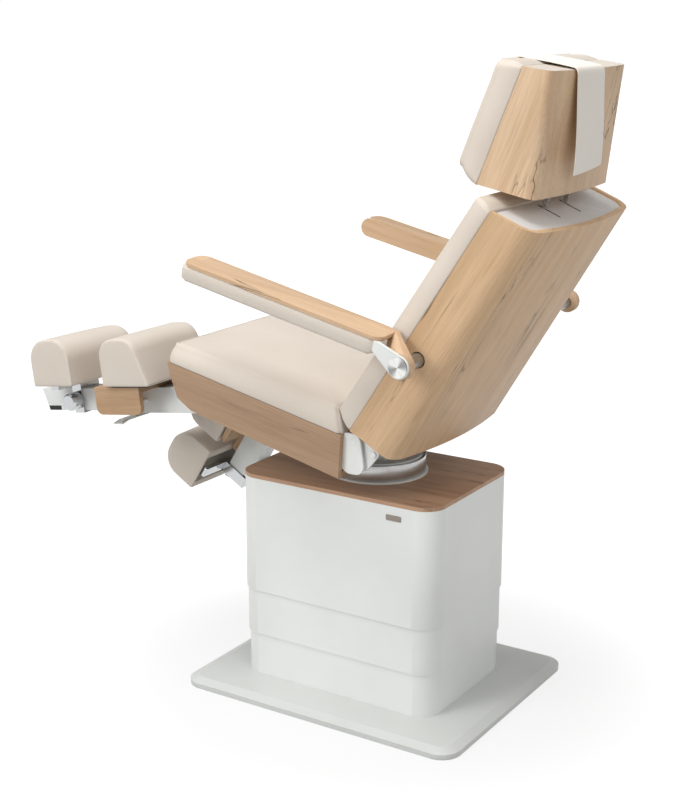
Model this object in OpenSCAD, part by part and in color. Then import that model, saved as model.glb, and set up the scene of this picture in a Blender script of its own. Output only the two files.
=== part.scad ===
// Podiatry treatment chair: a boxed lifting column on a floor plate, a swivel,
// a tilting seat, a reclining back with a sliding headrest, two folding
// armrests and two separate telescopic leg rests with calf and foot pads.
// X points where the sitter faces, Y to the sitter's left, Z up. The origin is
// on the floor, on the swivel axis.

/* [Floor plate] */
// Length of the floor plate, front to back
base_l = 827; // [780:1:900]
// Width of the floor plate
base_w = 672; // [640:1:740]
// Thickness of the floor plate
base_h = 24; // [20:1:30]
// Corner radius of the floor plate
base_corner_r = 55; // [50:1:90]
// Width of the bevel round the floor plate
base_bevel_w = 24; // [10:1:30]
// Height of the upright rim below the bevel
base_rim_h = 14; // [8:1:18]
// Mains inlet body length
inlet_l = 34; // [28:1:40]
// Mains inlet body width
inlet_w = 24; // [20:1:28]

/* [Column] */
// Length of the upper cover, front to back
column_l = 600; // [560:1:620]
// Width of the upper cover
column_w = 428; // [400:1:440]
// Corner radius of the upper cover
column_corner_r = 60; // [45:1:70]
// Distance of the column's middle ahead of the swivel axis
column_shift = 9; // [0:1:12]
// Wall of each telescopic cover
cover_wall = 3; // [2:0.5:4]
// Gap between one cover and the next
cover_gap = 0.8; // [0.6:0.1:1.2]
// Height of the upper cover's lower edge
upper_low = 266; // [250:1:280]
// Height of the upper cover's top edge
upper_top = 583; // [575:1:600]
// Height of the middle cover's lower edge
middle_low = 140; // [132:1:150]
// Height of the middle cover itself
middle_h = 322; // [310:1:325]
// Height of the lower cover's top edge
lower_top = 366; // [350:1:368]
// Thickness of the wooden top board
top_board_h = 10.5; // [8:0.5:14]
// Length of the small bare plate
label_l = 44; // [30:1:60]
// Height of the small bare plate
label_h = 15; // [10:1:20]
// Thickness of the small bare plate
label_t = 1.2; // [0.8:0.1:2]
// Distance of the bare plate's middle behind the swivel axis
label_back = 176; // [160:1:190]
// Drop of the bare plate's middle below the cover's top edge
label_drop = 30; // [20:1:60]

/* [Lifting mast] */
// Width of the outer mast tube
mast_w = 180; // [160:1:200]
// Wall of each mast tube
mast_wall = 5; // [4:0.5:6]
// Gap between one mast tube and the next
mast_gap = 1; // [0.6:0.1:1.5]
// Corner radius of the outer mast tube
mast_corner_r = 18; // [14:1:24]
// Height of the outer mast tube's top
mast_outer_top = 368; // [350:1:369]
// Height of the middle mast tube's lower end
mast_middle_low = 132; // [130:1:140]
// Length of the middle mast tube
mast_middle_h = 328; // [310:1:330]
// Height of the inner mast tube's lower end
mast_inner_low = 230; // [228:1:240]
// Thickness of the head plate under the wooden board
head_plate_h = 12; // [10:1:14]

/* [Swivel] */
// Radius of the flange on the wooden board
flange_r = 134; // [130:1:140]
// Thickness of the flange
flange_h = 5; // [4:0.5:7]
// Radius of the turning drum
drum_r = 128; // [120:1:129]
// Height of the turning drum
drum_h = 42; // [36:1:44]
// Wall of the drum's raised lip
drum_lip = 9; // [6:1:14]
// Depth of the recess inside the drum's lip
drum_recess = 8; // [5:1:12]
// Radius of the fixed spigot that the drum turns on
spigot_r = 60; // [50:1:70]
// Radial play of the running fits
fit_play = 0.05; // [0.02:0.01:0.1]
// Thickness of the yoke's foot
yoke_foot_h = 12; // [10:1:16]
// Thickness of each yoke cheek
yoke_cheek_t = 10; // [8:1:12]
// Outer width across the yoke cheeks
yoke_w = 136; // [120:1:140]
// Distance of the tilt pin behind the swivel axis
tilt_pin_back = 10; // [0:1:20]
// Height of the tilt pin
tilt_pin_z = 690; // [685:1:696]
// Radius of the tilt pin
tilt_pin_r = 10; // [8:1:12]

/* [Seat] */
// Width of the seat and back
seat_w = 566; // [540:1:580]
// Rise of the seat toward the front, degrees
seat_rise = 12.2; // [11:0.1:13]
// Distance of the seat's rear seam behind the swivel axis
seat_back_off = 63; // [60:1:66]
// Height of the seat's rear seam
seat_z = 767; // [764:1:770]
// Length of the seat along its seam
seat_l = 552; // [545:1:560]
// Thickness of the wooden side boards
skirt_t = 16; // [12:1:18]
// Depth of the wooden sides at the rear
skirt_rear_d = 112; // [108:1:116]
// Depth of the wooden sides at the front
skirt_front_d = 104; // [100:1:108]
// Length of the slanted lower front corner
skirt_nose_l = 98; // [80:1:110]
// Length by which the wooden sides pass the seam at the rear, below
skirt_tail = 17; // [10:1:20]
// Thickness of the wooden seat board
seat_board_t = 12; // [10:1:14]
// Height of the seat cushion at the rear ridge
seat_pad_rear_h = 58; // [52:1:62]
// Height of the seat cushion at the front ridge
seat_pad_front_h = 49; // [44:1:56]
// Inset of the cushion's ridge from its sides
pad_bevel = 19; // [14:1:24]
// Inset of the seat cushion's ridge at the rear
seat_pad_rear_in = 34; // [32:1:42]
// Inset of the seat cushion's ridge at the front
seat_pad_front_in = 2; // [0:1:8]
// Rise of each large cushion's crown
pad_crown = 9; // [4:1:14]
// Radius of the seat cushion's plan corners
seat_pad_corner_r = 16; // [10:1:24]
// Distance of the knee axle ahead of the swivel axis
knee_x = 375; // [372:1:378]
// Height of the knee axle
knee_z = 800; // [797:1:803]
// Radius of the knee axle
knee_pin_r = 10; // [8:1:12]
// Thickness of the frame's plates
frame_t = 8; // [6:1:9]
// Depth of the frame's cross beams
frame_beam_h = 44; // [38:1:48]
// Length of the frame's cross beams, front to back
frame_beam_l = 30; // [24:1:34]
// Wall of the frame's cross beams
frame_wall = 3; // [2.5:0.5:4]
// Thickness of the outer bracket plates
bracket_t = 7; // [6:1:8]

/* [Back] */
// Lean of the back from upright, degrees
back_lean = 33.2; // [32:0.1:34.5]
// Distance of the back's lower seam behind the swivel axis
back_back_off = 89; // [87:1:91]
// Height of the back's lower seam
back_z = 783; // [781:1:785]
// Length of the back along its seam
back_l = 674; // [666:1:680]
// Depth of the back shell at its lower end, at its middle
back_low_d = 160; // [152:1:166]
// Depth of the back shell at its top, at its middle
back_top_d = 133; // [126:1:138]
// Rise of the shell's lower rear corner above the seam
back_low_rise = 30; // [24:1:34]
// Rise of the shell's top rear corner above the seam
back_top_rise = 25; // [18:1:28]
// Radius of the shell's rear corners
back_corner_r = 50; // [40:1:60]
// Radius of the back shell's bowed rear wall
back_bow_r = 1600; // [1200:50:2400]
// Wall of the back shell
back_wall = 14; // [12:1:16]
// Height of the back cushion at its lower ridge
back_pad_low_h = 60; // [54:1:61]
// Height of the back cushion at its top ridge
back_pad_top_h = 52; // [46:1:56]
// Inset of the back cushion's lower ridge
back_pad_low_in = 10; // [8:1:18]
// Inset of the back cushion's top ridge
back_pad_top_in = 3; // [1:1:6]
// Thickness of the grey plate on top of the back
slot_plate_t = 4; // [3:1:6]
// Depth of the grey plate below the shell's rim
slot_plate_drop = 6; // [4:1:9]
// Width of each slot in the grey plate
slot_w = 6; // [5.5:0.5:8]
// Length of each slot in the grey plate
slot_len = 64; // [60:1:66]
// Distance of each slot's middle behind the back's seam plane
slot_depth = 45; // [44:1:46]
// Distance of the recline pin behind the swivel axis
recline_back = 88; // [86:1:90]
// Height of the recline pin
recline_z = 748; // [746:1:750]
// Radius of the recline pins
recline_pin_r = 8; // [6:1:9]
// Radius of the visible bolt heads below the back
bolt_r = 8; // [6:1:9]
// Height of the visible bolt heads
bolt_h = 5; // [4:1:7]

/* [Headrest] */
// Width of the headrest
head_w = 424; // [400:1:430]
// Lean of the headrest from upright, degrees
head_lean = 22; // [21:0.1:23]
// Distance of the headrest's lower seam ahead of the back's seam
head_ahead = 88; // [84:1:92]
// Height of the headrest's lower seam above the end of the back's seam
head_over = 0; // [-2:0.5:6]
// Length of the headrest's seam
head_l = 286; // [280:1:290]
// Depth of the headrest shell at its lower end
head_low_d = 151; // [142:1:156]
// Depth of the headrest shell at its top
head_top_d = 76; // [70:1:82]
// Rise of the shell's lower rear edge
head_low_rise = 29; // [26:1:32]
// Rise of the shell's top rear edge
head_top_rise = 19; // [14:1:22]
// Height of the headrest cushion
head_pad_h = 71; // [62:1:76]
// Inset of the headrest cushion's ridge
head_pad_in = 4; // [2:1:12]
// Inset of the headrest cushion's ridge at the top
head_pad_top_in = 30; // [28:1:40]
// Radius of the headrest shell's rear corners
head_corner_r = 20; // [10:1:24]
// Radius of the headrest shell's bowed rear wall
head_bow_r = 2250; // [1600:50:3000]
// Wall of the headrest shell
head_wall = 12; // [10:1:14]
// Lean of the headrest's flat bars from upright, degrees
bar_lean = 16.5; // [16:0.1:17]
// Width of each flat bar, front to back
bar_w = 12; // [10:1:13]
// Thickness of each flat bar
bar_t = 4; // [3:0.5:5]
// Distance between the headrest's bars
bar_gap = 116; // [110:1:120]
// Depth of the bars' swing pin behind the back's seam plane
swing_depth = 65; // [63:1:66]
// Distance of the swing pin below the back's top
swing_down = 120; // [118:1:124]
// Length of the bars above their swing pin
bar_up = 228; // [222:1:230]
// Length of the bars below their swing pin
bar_down = 80; // [76:1:84]
// Width of the leather strap
strap_w = 150; // [120:1:160]
// Thickness of the leather strap
strap_t = 4; // [3:0.5:5]
// Length of the strap that hangs behind the headrest
strap_drop = 222; // [190:1:230]
// Distance of the strap's middle to the sitter's left
strap_off = 30; // [20:1:40]

/* [Armrests] */
// Rise of the armrests toward the front, degrees
arm_rise = 12.6; // [12:0.1:13.2]
// Distance of the armrest shaft behind the swivel axis
arm_back = 277; // [275:1:279]
// Height of the armrest shaft
arm_z = 985; // [983:1:987]
// Radius of the armrest shaft
arm_shaft_r = 18; // [16:0.5:19]
// Gap between the back shell and an armrest
arm_side_gap = 7; // [5:1:10]
// Width of an armrest
arm_w = 84; // [76:1:90]
// Distance of an armrest's front end from its shaft
arm_front = 662; // [640:1:670]
// Distance of the wooden top's rear end from the shaft
arm_rear = 60; // [52:1:70]
// Height of an armrest at its inner edge
arm_in_h = 56; // [52:1:60]
// Height of an armrest at its outer edge
arm_out_h = 50; // [46:1:54]
// Thickness of the wooden top
arm_top_t = 9; // [7:1:12]
// Thickness of the wooden inner board
arm_board_t = 12; // [10:1:14]
// Radius of the armrest's eye round its shaft
arm_eye_r = 32; // [30:1:34]
// Thickness of the armrest's wooden eye
arm_eye_t = 17; // [14:1:20]
// Thickness of the white bracket
arm_bracket_t = 8; // [6:1:12]
// Radius of the chrome disc
disc_r = 25; // [22:1:27]
// Thickness of the chrome disc
disc_t = 4; // [3:1:5]
// Distance by which the right armrest stands drawn out
arm_right_out = 208; // [150:1:210]

/* [Leg rests] */
// Slope of the raised left leg rest, degrees down
leg_left_lean = 8; // [6:1:10]
// Slope of the lowered right leg rest, degrees down
leg_right_lean = 58.5; // [56:0.5:60]
// Distance by which the left leg beam is drawn out
leg_left_out = 243; // [220:1:245]
// Distance by which the right leg beam is drawn out
leg_right_out = 0; // [0:1:20]
// Distance of a leg rest's middle from the chair's middle
leg_y = 145; // [143:1:146]
// Width of the leg carrier
carrier_w = 74; // [70:1:76]
// Height of the leg carrier
carrier_h = 72; // [68:1:74]
// Height of the carrier's top above the knee axle
carrier_up = 6; // [4:1:8]
// Wall of the leg carrier
carrier_wall = 3.5; // [3:0.5:4]
// Distance of the carrier's front end from the knee axle
carrier_front = 372; // [366:1:374]
// Radius of the carrier's eye round the knee axle
carrier_eye_r = 26; // [24:1:28]
// Gap between the carrier and the sliding beam
beam_gap = 0.5; // [0.3:0.1:0.8]
// Distance of the pushed-in beam's front end from the knee axle
beam_front = 420; // [414:1:424]
// Distance of the pushed-in beam's rear end from the knee axle
beam_rear = 18; // [16:1:22]
// Wall of the sliding beam
beam_wall = 3; // [2.5:0.5:4]
// Slant of the beam's front end
beam_slant = 18; // [12:1:22]
// Height of the black end cap
cap_h = 13; // [10:1:16]
// Length of the black end cap
cap_l = 46; // [40:1:52]
// Travel of the calf pad and its wooden cover along the carrier
calf_travel = 56; // [48:1:56]
// Distance of the pushed-in wooden cover's rear edge from the knee axle
cover_rear = 166; // [160:1:172]
// Distance of the pushed-in wooden cover's front edge from the knee axle
cover_front = 326; // [320:1:328]
// Thickness of the wooden cover's top
cover_top_t = 17; // [14:1:18]
// Depth of the wooden cover's sides below its top
cover_side_d = 77; // [70:1:82]
// Thickness of the wooden cover's sides
cover_side_t = 14; // [12:1:16]
// Radius of the wooden cover's lower corners
cover_corner_r = 20; // [14:1:24]
// Distance of the wooden cover's inner end from the chair's middle
cover_in = 10; // [8:1:24]
// Distance of the wooden cover's outer side from the chair's middle
cover_out = 262; // [256:1:264]
// Distance of the pads' inner ends from the chair's middle
pad_in = 4; // [3:1:7]
// Distance of the pads' outer ends from the chair's middle
pad_out = 281; // [276:1:282]
// Length of the calf pad, along the leg
calf_l = 161; // [154:1:162]
// Height of the calf pad
calf_h = 129.7; // [120:0.1:134]
// Distance of the pushed-in calf pad's rear edge from the knee axle
calf_rear = 114; // [112:1:118]
// Radius of the calf pad's top
calf_r = 50; // [46:1:54]
// Height of the board under the calf pad
calf_board_h = 5; // [4:0.5:7]
// Draw-in of the board under the calf pad
calf_board_in = 14; // [10:1:18]
// Length of the cover's runner, along the leg
runner_l = 60; // [50:1:64]
// Thickness of the cover's runner
runner_t = 18; // [16:1:22]
// Distance of the runner's front end behind the cover's front edge
runner_in = 20; // [16:1:24]
// Height of the guide rib on the carrier's outer side
rib_h = 6; // [5:0.5:8]
// Reach of the guide rib beyond the carrier's side
rib_out = 8; // [6:1:10]
// Height of the foot pad's underside above the wooden cover
foot_up = 6; // [5:0.5:8]
// Length of the foot pad, along the leg
foot_l = 142; // [134:1:146]
// Height of the foot pad
foot_h = 132; // [124:1:136]
// Fall of the foot pad's height toward its inner end
foot_fall = 7; // [0:1:10]
// Distance of the carriage's middle from the foot pad's rear edge
clamp_at = 76; // [73:1:80]
// Radius of the foot pad's top
foot_r = 60; // [54:1:64]
// Distance of the left foot pad's rear edge from the knee axle
foot_left_rear = 447; // [444:1:452]
// Distance of the right foot pad's rear edge from the knee axle
foot_right_rear = 317; // [314:1:322]
// Draw-in of the pads' ends
pad_end_in = 5; // [3:1:8]
// Length of the carriage, along the leg
carriage_l = 34; // [30:1:36]
// Wall of the carriage
carriage_wall = 6; // [5:1:8]
// Length of the chrome rail across the foot pad
rail_w = 252; // [240:1:256]
// Length of the rail's section, along the leg
rail_l = 30; // [26:1:34]
// Height of the rail's section
rail_h = 34; // [30:1:36]
// Length of the recess in the foot pad, along the leg
recess_l = 94; // [86:1:98]
// Depth of the recess in the foot pad
recess_d = 22; // [18:1:26]
// Radius of the clamp knob
knob_r = 25; // [22:1:27]
// Length of the clamp knob
knob_l = 40; // [34:1:44]
// Radius of the clamp knob's stem
knob_stem_r = 7; // [6:0.5:8]
// Width of the release lever, along the leg
lever_l = 34; // [28:1:38]
// Distance of the release lever's middle from the knee axle
lever_at = 325; // [300:1:330]
// Reach of the release lever beyond its pin
lever_reach = 104; // [96:1:106]
// Thickness of the release lever's sheet
lever_t = 3; // [2:0.5:4]
// Radius of the release lever's pin
lever_pin_r = 3; // [2.5:0.5:3.5]

/* [Hidden] */
$fn = 48;

// colours, as the photograph shows them
white_c = [0.90, 0.91, 0.90];
oak_c = [0.82, 0.68, 0.49];
board_c = [0.62, 0.50, 0.40];
leather_c = [0.86, 0.83, 0.78];
steel_c = [0.72, 0.72, 0.71];
chrome_c = [0.80, 0.81, 0.82];
grey_c = [0.68, 0.67, 0.66];
black_c = [0.10, 0.10, 0.10];
bronze_c = [0.52, 0.48, 0.44];

cut_over = 1;        // overrun of every cut
soft_gap = 0.3;      // between a soft piece and what carries it
thin = 1;            // slice that a blend starts from
slide_gap = 0.5;     // between flat faces that slide

half_w = seat_w / 2;
board_z = upper_top + top_board_h;      // top of the wooden board
flange_z = board_z + flange_h;
drum_z = flange_z + slide_gap;
drum_top = drum_z + drum_h;
yoke_z = drum_top - drum_recess;
spigot_h = drum_h - drum_recess - slide_gap;
inlet_r = inlet_w / 4;

// a rounded rectangle, standing on its middle
module rounded(l, w, r) {
    square([l - 2 * r, w], center = true);
    square([l, w - 2 * r], center = true);
    for (i = [-1, 1], j = [-1, 1])
        translate([i * (l / 2 - r), j * (w / 2 - r)]) circle(r);
}
module slab(l, w, r, h) { linear_extrude(height = h) rounded(l, w, r); }
// a telescopic cover or tube, open at both ends
module sleeve(l, w, r, wall, h) {
    linear_extrude(height = h) difference() {
        rounded(l, w, r);
        rounded(l - 2 * wall, w - 2 * wall, max(r - wall, thin));
    }
}
// a side outline, in x and z, spread from y0 to y1
module across(y0, y1) {
    translate([0, y1, 0]) rotate([90, 0, 0])
        linear_extrude(height = y1 - y0) children();
}
module box(x0, x1, y0, y1, z0, z1) {
    translate([x0, y0, z0]) cube([x1 - x0, y1 - y0, z1 - z0]);
}
// a round bar along y at x, z
module bar_y(r, x, z, y0, y1) {
    translate([x, y0, z]) rotate([-90, 0, 0]) cylinder(r = r, h = y1 - y0);
}
module column_at(z) { translate([column_shift, 0, z]) children(); }

/* ---- floor plate and covers ---- */
module base_plate() {
    bevel_h = base_h - base_rim_h;
    cx = base_l / 2 - base_corner_r;
    cy = base_w / 2 - base_corner_r;
    low_r = base_corner_r;
    top_r = base_corner_r - base_bevel_w;
    color(white_c) {
        difference() {
            union() {
                slab(base_l, base_w, base_corner_r, base_rim_h);
                translate([0, 0, base_rim_h]) {
                    for (i = [-1, 1], j = [-1, 1])
                        translate([i * cx, j * cy, 0])
                            cylinder(r1 = low_r, r2 = top_r, h = bevel_h);
                    across(-cy, cy) polygon([[-cx - low_r, 0],
                        [cx + low_r, 0], [cx + top_r, bevel_h],
                        [-cx - top_r, bevel_h]]);
                    rotate([0, 0, 90]) across(-cx, cx)
                        polygon([[-cy - low_r, 0], [cy + low_r, 0],
                            [cy + top_r, bevel_h], [-cy - top_r, bevel_h]]);
                }
            }
            // seat of the mains inlet, on the sitter's right
            translate([column_shift - column_l / 4, -inlet_y, base_rim_h])
                cylinder(r = inlet_r + slide_gap, h = base_h);
        }
    }
}
cover_step = cover_wall + cover_gap;
inlet_y = column_w / 2 + inlet_w;
module lower_cover() {
    color(white_c) column_at(base_h)
        sleeve(column_l - 4 * cover_step, column_w - 4 * cover_step,
            column_corner_r - 2 * cover_step, cover_wall,
            lower_top - base_h);
}
module middle_cover() {
    color(white_c) column_at(middle_low)
        sleeve(column_l - 2 * cover_step, column_w - 2 * cover_step,
            column_corner_r - cover_step, cover_wall, middle_h);
}
module upper_cover() {
    color(white_c) column_at(upper_low)
        sleeve(column_l, column_w, column_corner_r, cover_wall,
            upper_top - upper_low);
}
module top_board() {
    color(board_c) column_at(upper_top)
        slab(column_l, column_w, column_corner_r, top_board_h);
}
module bare_plate() {
    color(bronze_c)
        translate([-label_back, column_w / 2, upper_top - label_drop])
            rotate([-90, 0, 0]) slab(label_l, label_h, label_h / 6, label_t);
}
module mains_inlet() {
    // a low inlet housing on the plate, with a round stem in its seat
    color(black_c)
        translate([column_shift - column_l / 4, -inlet_y, base_rim_h]) {
            cylinder(r = inlet_r, h = base_h - base_rim_h + slide_gap);
            difference() {
                translate([0, 0, base_h - base_rim_h])
                    slab(inlet_l, inlet_w, inlet_r / 2, inlet_w);
                translate([0, cut_over - inlet_w / 2,
                    base_h - base_rim_h + inlet_w / 2]) rotate([90, 0, 0])
                    slab(inlet_l - inlet_r, inlet_w - inlet_r,
                        inlet_r / 3, inlet_w / 2);
            }
        }
}

/* ---- lifting mast ---- */
mast_step = mast_wall + mast_gap;
module mast_outer() {
    color(steel_c) translate([0, 0, base_h])
        sleeve(mast_w, mast_w, mast_corner_r, mast_wall,
            mast_outer_top - base_h);
}
module mast_middle() {
    color(steel_c) translate([0, 0, mast_middle_low])
        sleeve(mast_w - 2 * mast_step, mast_w - 2 * mast_step,
            mast_corner_r - mast_step, mast_wall, mast_middle_h);
}
module mast_inner() {
    top = upper_top - head_plate_h;
    color(steel_c) {
        translate([0, 0, mast_inner_low])
            sleeve(mast_w - 4 * mast_step, mast_w - 4 * mast_step,
                mast_corner_r - 2 * mast_step, mast_wall,
                top - mast_inner_low);
        column_at(top) slab(column_l - 2 * cover_wall - 2 * soft_gap,
            column_w - 2 * cover_wall - 2 * soft_gap,
            column_corner_r - cover_wall - soft_gap, head_plate_h);
    }
}

/* ---- swivel ---- */
module swivel_flange() {
    color(steel_c) translate([0, 0, board_z]) {
        cylinder(r = flange_r, h = flange_h, $fn = 96);
        cylinder(r = spigot_r, h = flange_h + spigot_h, $fn = 96);
    }
}
module swivel_drum() {
    color(steel_c) translate([0, 0, drum_z]) difference() {
        cylinder(r = drum_r, h = drum_h, $fn = 96);
        translate([0, 0, drum_h - drum_recess])
            cylinder(r = drum_r - drum_lip, h = drum_recess + cut_over,
                $fn = 96);
        translate([0, 0, -cut_over])
            cylinder(r = spigot_r + fit_play, h = drum_h, $fn = 96);
    }
}
yoke_eye_r = tilt_pin_r + yoke_foot_h;
module turret_yoke() {
    color(white_c) difference() {
        union() {
            translate([0, 0, yoke_z])
                cylinder(r = drum_r - drum_lip - slide_gap, h = yoke_foot_h,
                    $fn = 96);
            for (j = [-1, 1]) {
                y = j * (yoke_w - yoke_cheek_t) / 2;
                across(y - yoke_cheek_t / 2, y + yoke_cheek_t / 2) hull() {
                    translate([-tilt_pin_back, tilt_pin_z])
                        circle(yoke_eye_r, $fn = 32);
                    translate([-drum_r / 2, yoke_z + thin])
                        square([drum_r, yoke_foot_h - thin]);
                }
            }
        }
        bar_y(tilt_pin_r + fit_play, -tilt_pin_back, tilt_pin_z,
            -yoke_w, yoke_w);
    }
}

/* ---- seat ---- */
seat_x = -seat_back_off;
module in_seat() {
    translate([seat_x, 0, seat_z]) rotate([0, -seat_rise, 0]) children();
}
function to_seat(x, z) = [
    (x - seat_x) * cos(seat_rise) + (z - seat_z) * sin(seat_rise),
    (z - seat_z) * cos(seat_rise) - (x - seat_x) * sin(seat_rise)];
tilt_s = to_seat(-tilt_pin_back, tilt_pin_z);
knee_s = to_seat(knee_x, knee_z);
reclin_s = to_seat(-recline_back, recline_z);
frame_top = -seat_board_t - soft_gap;
lug_in = leg_y - carrier_w / 2 - slide_gap;    // inner lug's outer face
lug_out = leg_y + carrier_w / 2 + slide_gap;   // outer lug's inner face
beam_front_s = knee_s[0] - carrier_h - 2 * frame_beam_l;
frame_cheek = yoke_w / 2 + slide_gap;          // frame cheek's inner face
skirt_in = half_w - skirt_t;
module seat_frame() {
    eye_r = knee_pin_r + frame_t + frame_wall * 2;
    tilt_eye = tilt_pin_r + frame_t + frame_wall;
    color(white_c) in_seat() difference() {
        union() {
            // cross beams
            difference() {
                union() {
                    box(beam_front_s, beam_front_s + frame_beam_l,
                        -lug_out - frame_t, lug_out + frame_t,
                        frame_top - frame_beam_h, frame_top);
                    box(0, frame_beam_l, -skirt_in + bracket_t,
                        skirt_in - bracket_t,
                        frame_top - frame_beam_h, frame_top);
                }
                for (x = [beam_front_s, 0])
                    box(x + frame_wall, x + frame_beam_l - frame_wall,
                        -half_w, half_w,
                        frame_top - frame_beam_h + frame_wall,
                        frame_top - frame_wall);
            }
            for (j = [-1, 1]) {
                // long cheeks over the yoke
                y0 = j > 0 ? frame_cheek : -frame_cheek - frame_t;
                across(y0, y0 + frame_t) hull() {
                    translate(tilt_s) circle(tilt_eye, $fn = 32);
                    translate([0, frame_top - frame_beam_h])
                        square([beam_front_s + frame_wall, frame_beam_h]);
                }
                // knee lugs
                for (y = [lug_in - frame_t, lug_out]) {
                    y1 = j > 0 ? y : -y - frame_t;
                    across(y1, y1 + frame_t) hull() {
                        translate(knee_s) circle(eye_r, $fn = 32);
                        translate([beam_front_s + frame_wall,
                            frame_top - frame_beam_h])
                            square([frame_beam_l - 2 * frame_wall,
                                frame_beam_h]);
                    }
                }
            }
        }
        bar_y(tilt_pin_r, tilt_s[0], tilt_s[1], -half_w, half_w);
        bar_y(knee_pin_r, knee_s[0], knee_s[1], -half_w, half_w);
    }
}
// the outline of a wooden side, seen from the side
module skirt_outline() {
    polygon([[0, 0], [seat_l, 0],
        [seat_l - skirt_tail, -skirt_front_d / 3],
        [seat_l - skirt_nose_l / 2, -skirt_front_d * nose_share],
        [seat_l - skirt_nose_l, -skirt_front_d],
        [-skirt_tail, -skirt_rear_d]]);
}
nose_share = 0.82;
strip_share = 0.62;   // part of the seat that the lower strips run along
module seat_shell() {
    strip_in = lug_out + frame_t + slide_gap;
    color(oak_c) in_seat() {
        for (j = [-1, 1]) {
            y0 = j > 0 ? skirt_in : -half_w;
            across(y0, y0 + skirt_t) skirt_outline();
            // lower strip with its rear edge
            y1 = j > 0 ? strip_in - leg_y / 3 : -skirt_in - slide_gap / 5;
            y2 = j > 0 ? skirt_in + slide_gap / 5 : -strip_in + leg_y / 3;
            across(y1, y2) polygon([[-skirt_tail, -skirt_rear_d],
                [seat_l * strip_share, -skirt_rear_d
                    + (skirt_rear_d - skirt_front_d) * strip_share],
                [seat_l * strip_share, -skirt_rear_d + skirt_t
                    + (skirt_rear_d - skirt_front_d) * strip_share],
                [-skirt_tail, -skirt_rear_d + skirt_t]]);
        }
        // seat board and front rail
        box(0, seat_l - skirt_tail / 2, -skirt_in, skirt_in,
            -seat_board_t, 0);
        across(-skirt_in, skirt_in) polygon([
            [seat_l - skirt_t - skirt_tail / 2, -seat_board_t],
            [seat_l - skirt_tail / 2, -seat_board_t],
            [seat_l - skirt_tail, -skirt_front_d / 3],
            [seat_l - skirt_t - skirt_tail, -skirt_front_d / 3]]);
    }
}
crown_in_share = 0.25;
crown_wide_share = 0.62;
edge_r = 8;
module seat_cushion() {
    color(leather_c) in_seat()
        hull() {
            for (h = [soft_gap, soft_gap + edge_r])
                translate([seat_l / 2, 0, h])
                    slab(seat_l, seat_w, seat_pad_corner_r, thin, $fn = 24);
            for (j = [-1, 1]) {
                translate([seat_pad_rear_in + edge_r,
                    j * (half_w - pad_bevel - edge_r),
                    seat_pad_rear_h - edge_r]) sphere(edge_r, $fn = 16);
                translate([seat_l - seat_pad_front_in - 2 * edge_r,
                    j * (half_w - pad_bevel - 2 * edge_r),
                    seat_pad_front_h - 2 * edge_r])
                    sphere(2 * edge_r, $fn = 20);
                for (k = [crown_in_share, 1 - crown_in_share])
                    translate([seat_l * k, j * half_w * crown_wide_share,
                        seat_pad_rear_h + (seat_pad_front_h
                            - seat_pad_rear_h) * k + pad_crown * 3 / 4
                            - edge_r]) sphere(edge_r, $fn = 12);
            }
            translate([seat_l / 2, 0, (seat_pad_rear_h
                + seat_pad_front_h) / 2 + pad_crown - edge_r])
                sphere(edge_r, $fn = 12);
        }
}
bracket_toe_in = 79;       // lower round corners of the bracket plates
bracket_toe_out = 96;
bracket_toe_z = 690;
module seat_brackets() {
    // rounded plates on the inner faces of the wooden sides
    pin_eye = recline_pin_r + frame_t + bracket_t;
    color(white_c) in_seat() for (j = [-1, 1]) {
        y0 = j > 0 ? skirt_in - bracket_t : -skirt_in;
        difference() {
            across(y0, y0 + bracket_t) hull() {
                translate(reclin_s) circle(pin_eye, $fn = 32);
                for (x = [-bracket_toe_in, -bracket_toe_out])
                    translate(to_seat(x, bracket_toe_z))
                        circle(pin_eye, $fn = 32);
                translate([frame_beam_l, frame_top - frame_beam_h])
                    square([frame_beam_l, frame_beam_h]);
            }
            bar_y(recline_pin_r, reclin_s[0], reclin_s[1], -half_w, half_w);
            // clear of the seat board and its cushion
            box(-soft_gap, seat_l, -half_w, half_w, frame_top,
                skirt_rear_d);
        }
    }
}
module knee_axle() {
    color(steel_c) bar_y(knee_pin_r, knee_x, knee_z,
        -lug_out - 2 * frame_t, lug_out + 2 * frame_t);
}
// outer faces of the back's hinge plates, with room for their bolts
hinge_plate_out = skirt_in - bracket_t - bolt_h - 2 * slide_gap;
module hinge_pins() {
    color(steel_c) {
        bar_y(tilt_pin_r, -tilt_pin_back, tilt_pin_z,
            -frame_cheek - frame_t - frame_wall,
            frame_cheek + frame_t + frame_wall);
        for (j = [-1, 1]) {
            y0 = j > 0 ? hinge_plate_out - frame_t - frame_wall : -skirt_in;
            bar_y(recline_pin_r, -recline_back, recline_z, y0,
                y0 + skirt_in - hinge_plate_out + frame_t + frame_wall);
        }
    }
}

/* ---- back ---- */
back_x = -back_back_off;
module in_back() {
    translate([back_x, 0, back_z]) rotate([0, -back_lean, 0]) children();
}
function to_back(x, z) = [
    (x - back_x) * cos(back_lean) + (z - back_z) * sin(back_lean),
    (z - back_z) * cos(back_lean) - (x - back_x) * sin(back_lean)];
arm_b = to_back(-arm_back, arm_z);
reclin_b = to_back(-recline_back, recline_z);
// the back shell's outline, from the side, w in from its rear face
module back_outline(w, open) {
    polygon([[open, -open], [open, back_l + open],
        [-back_top_d + w, back_l + open + back_top_rise],
        [-back_low_d + w, back_low_rise - open],
        [-back_low_d * 3 / 4, back_low_rise / 3 - open],
        [-back_low_d / 4, back_low_rise / 6 - open]]);
}
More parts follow.
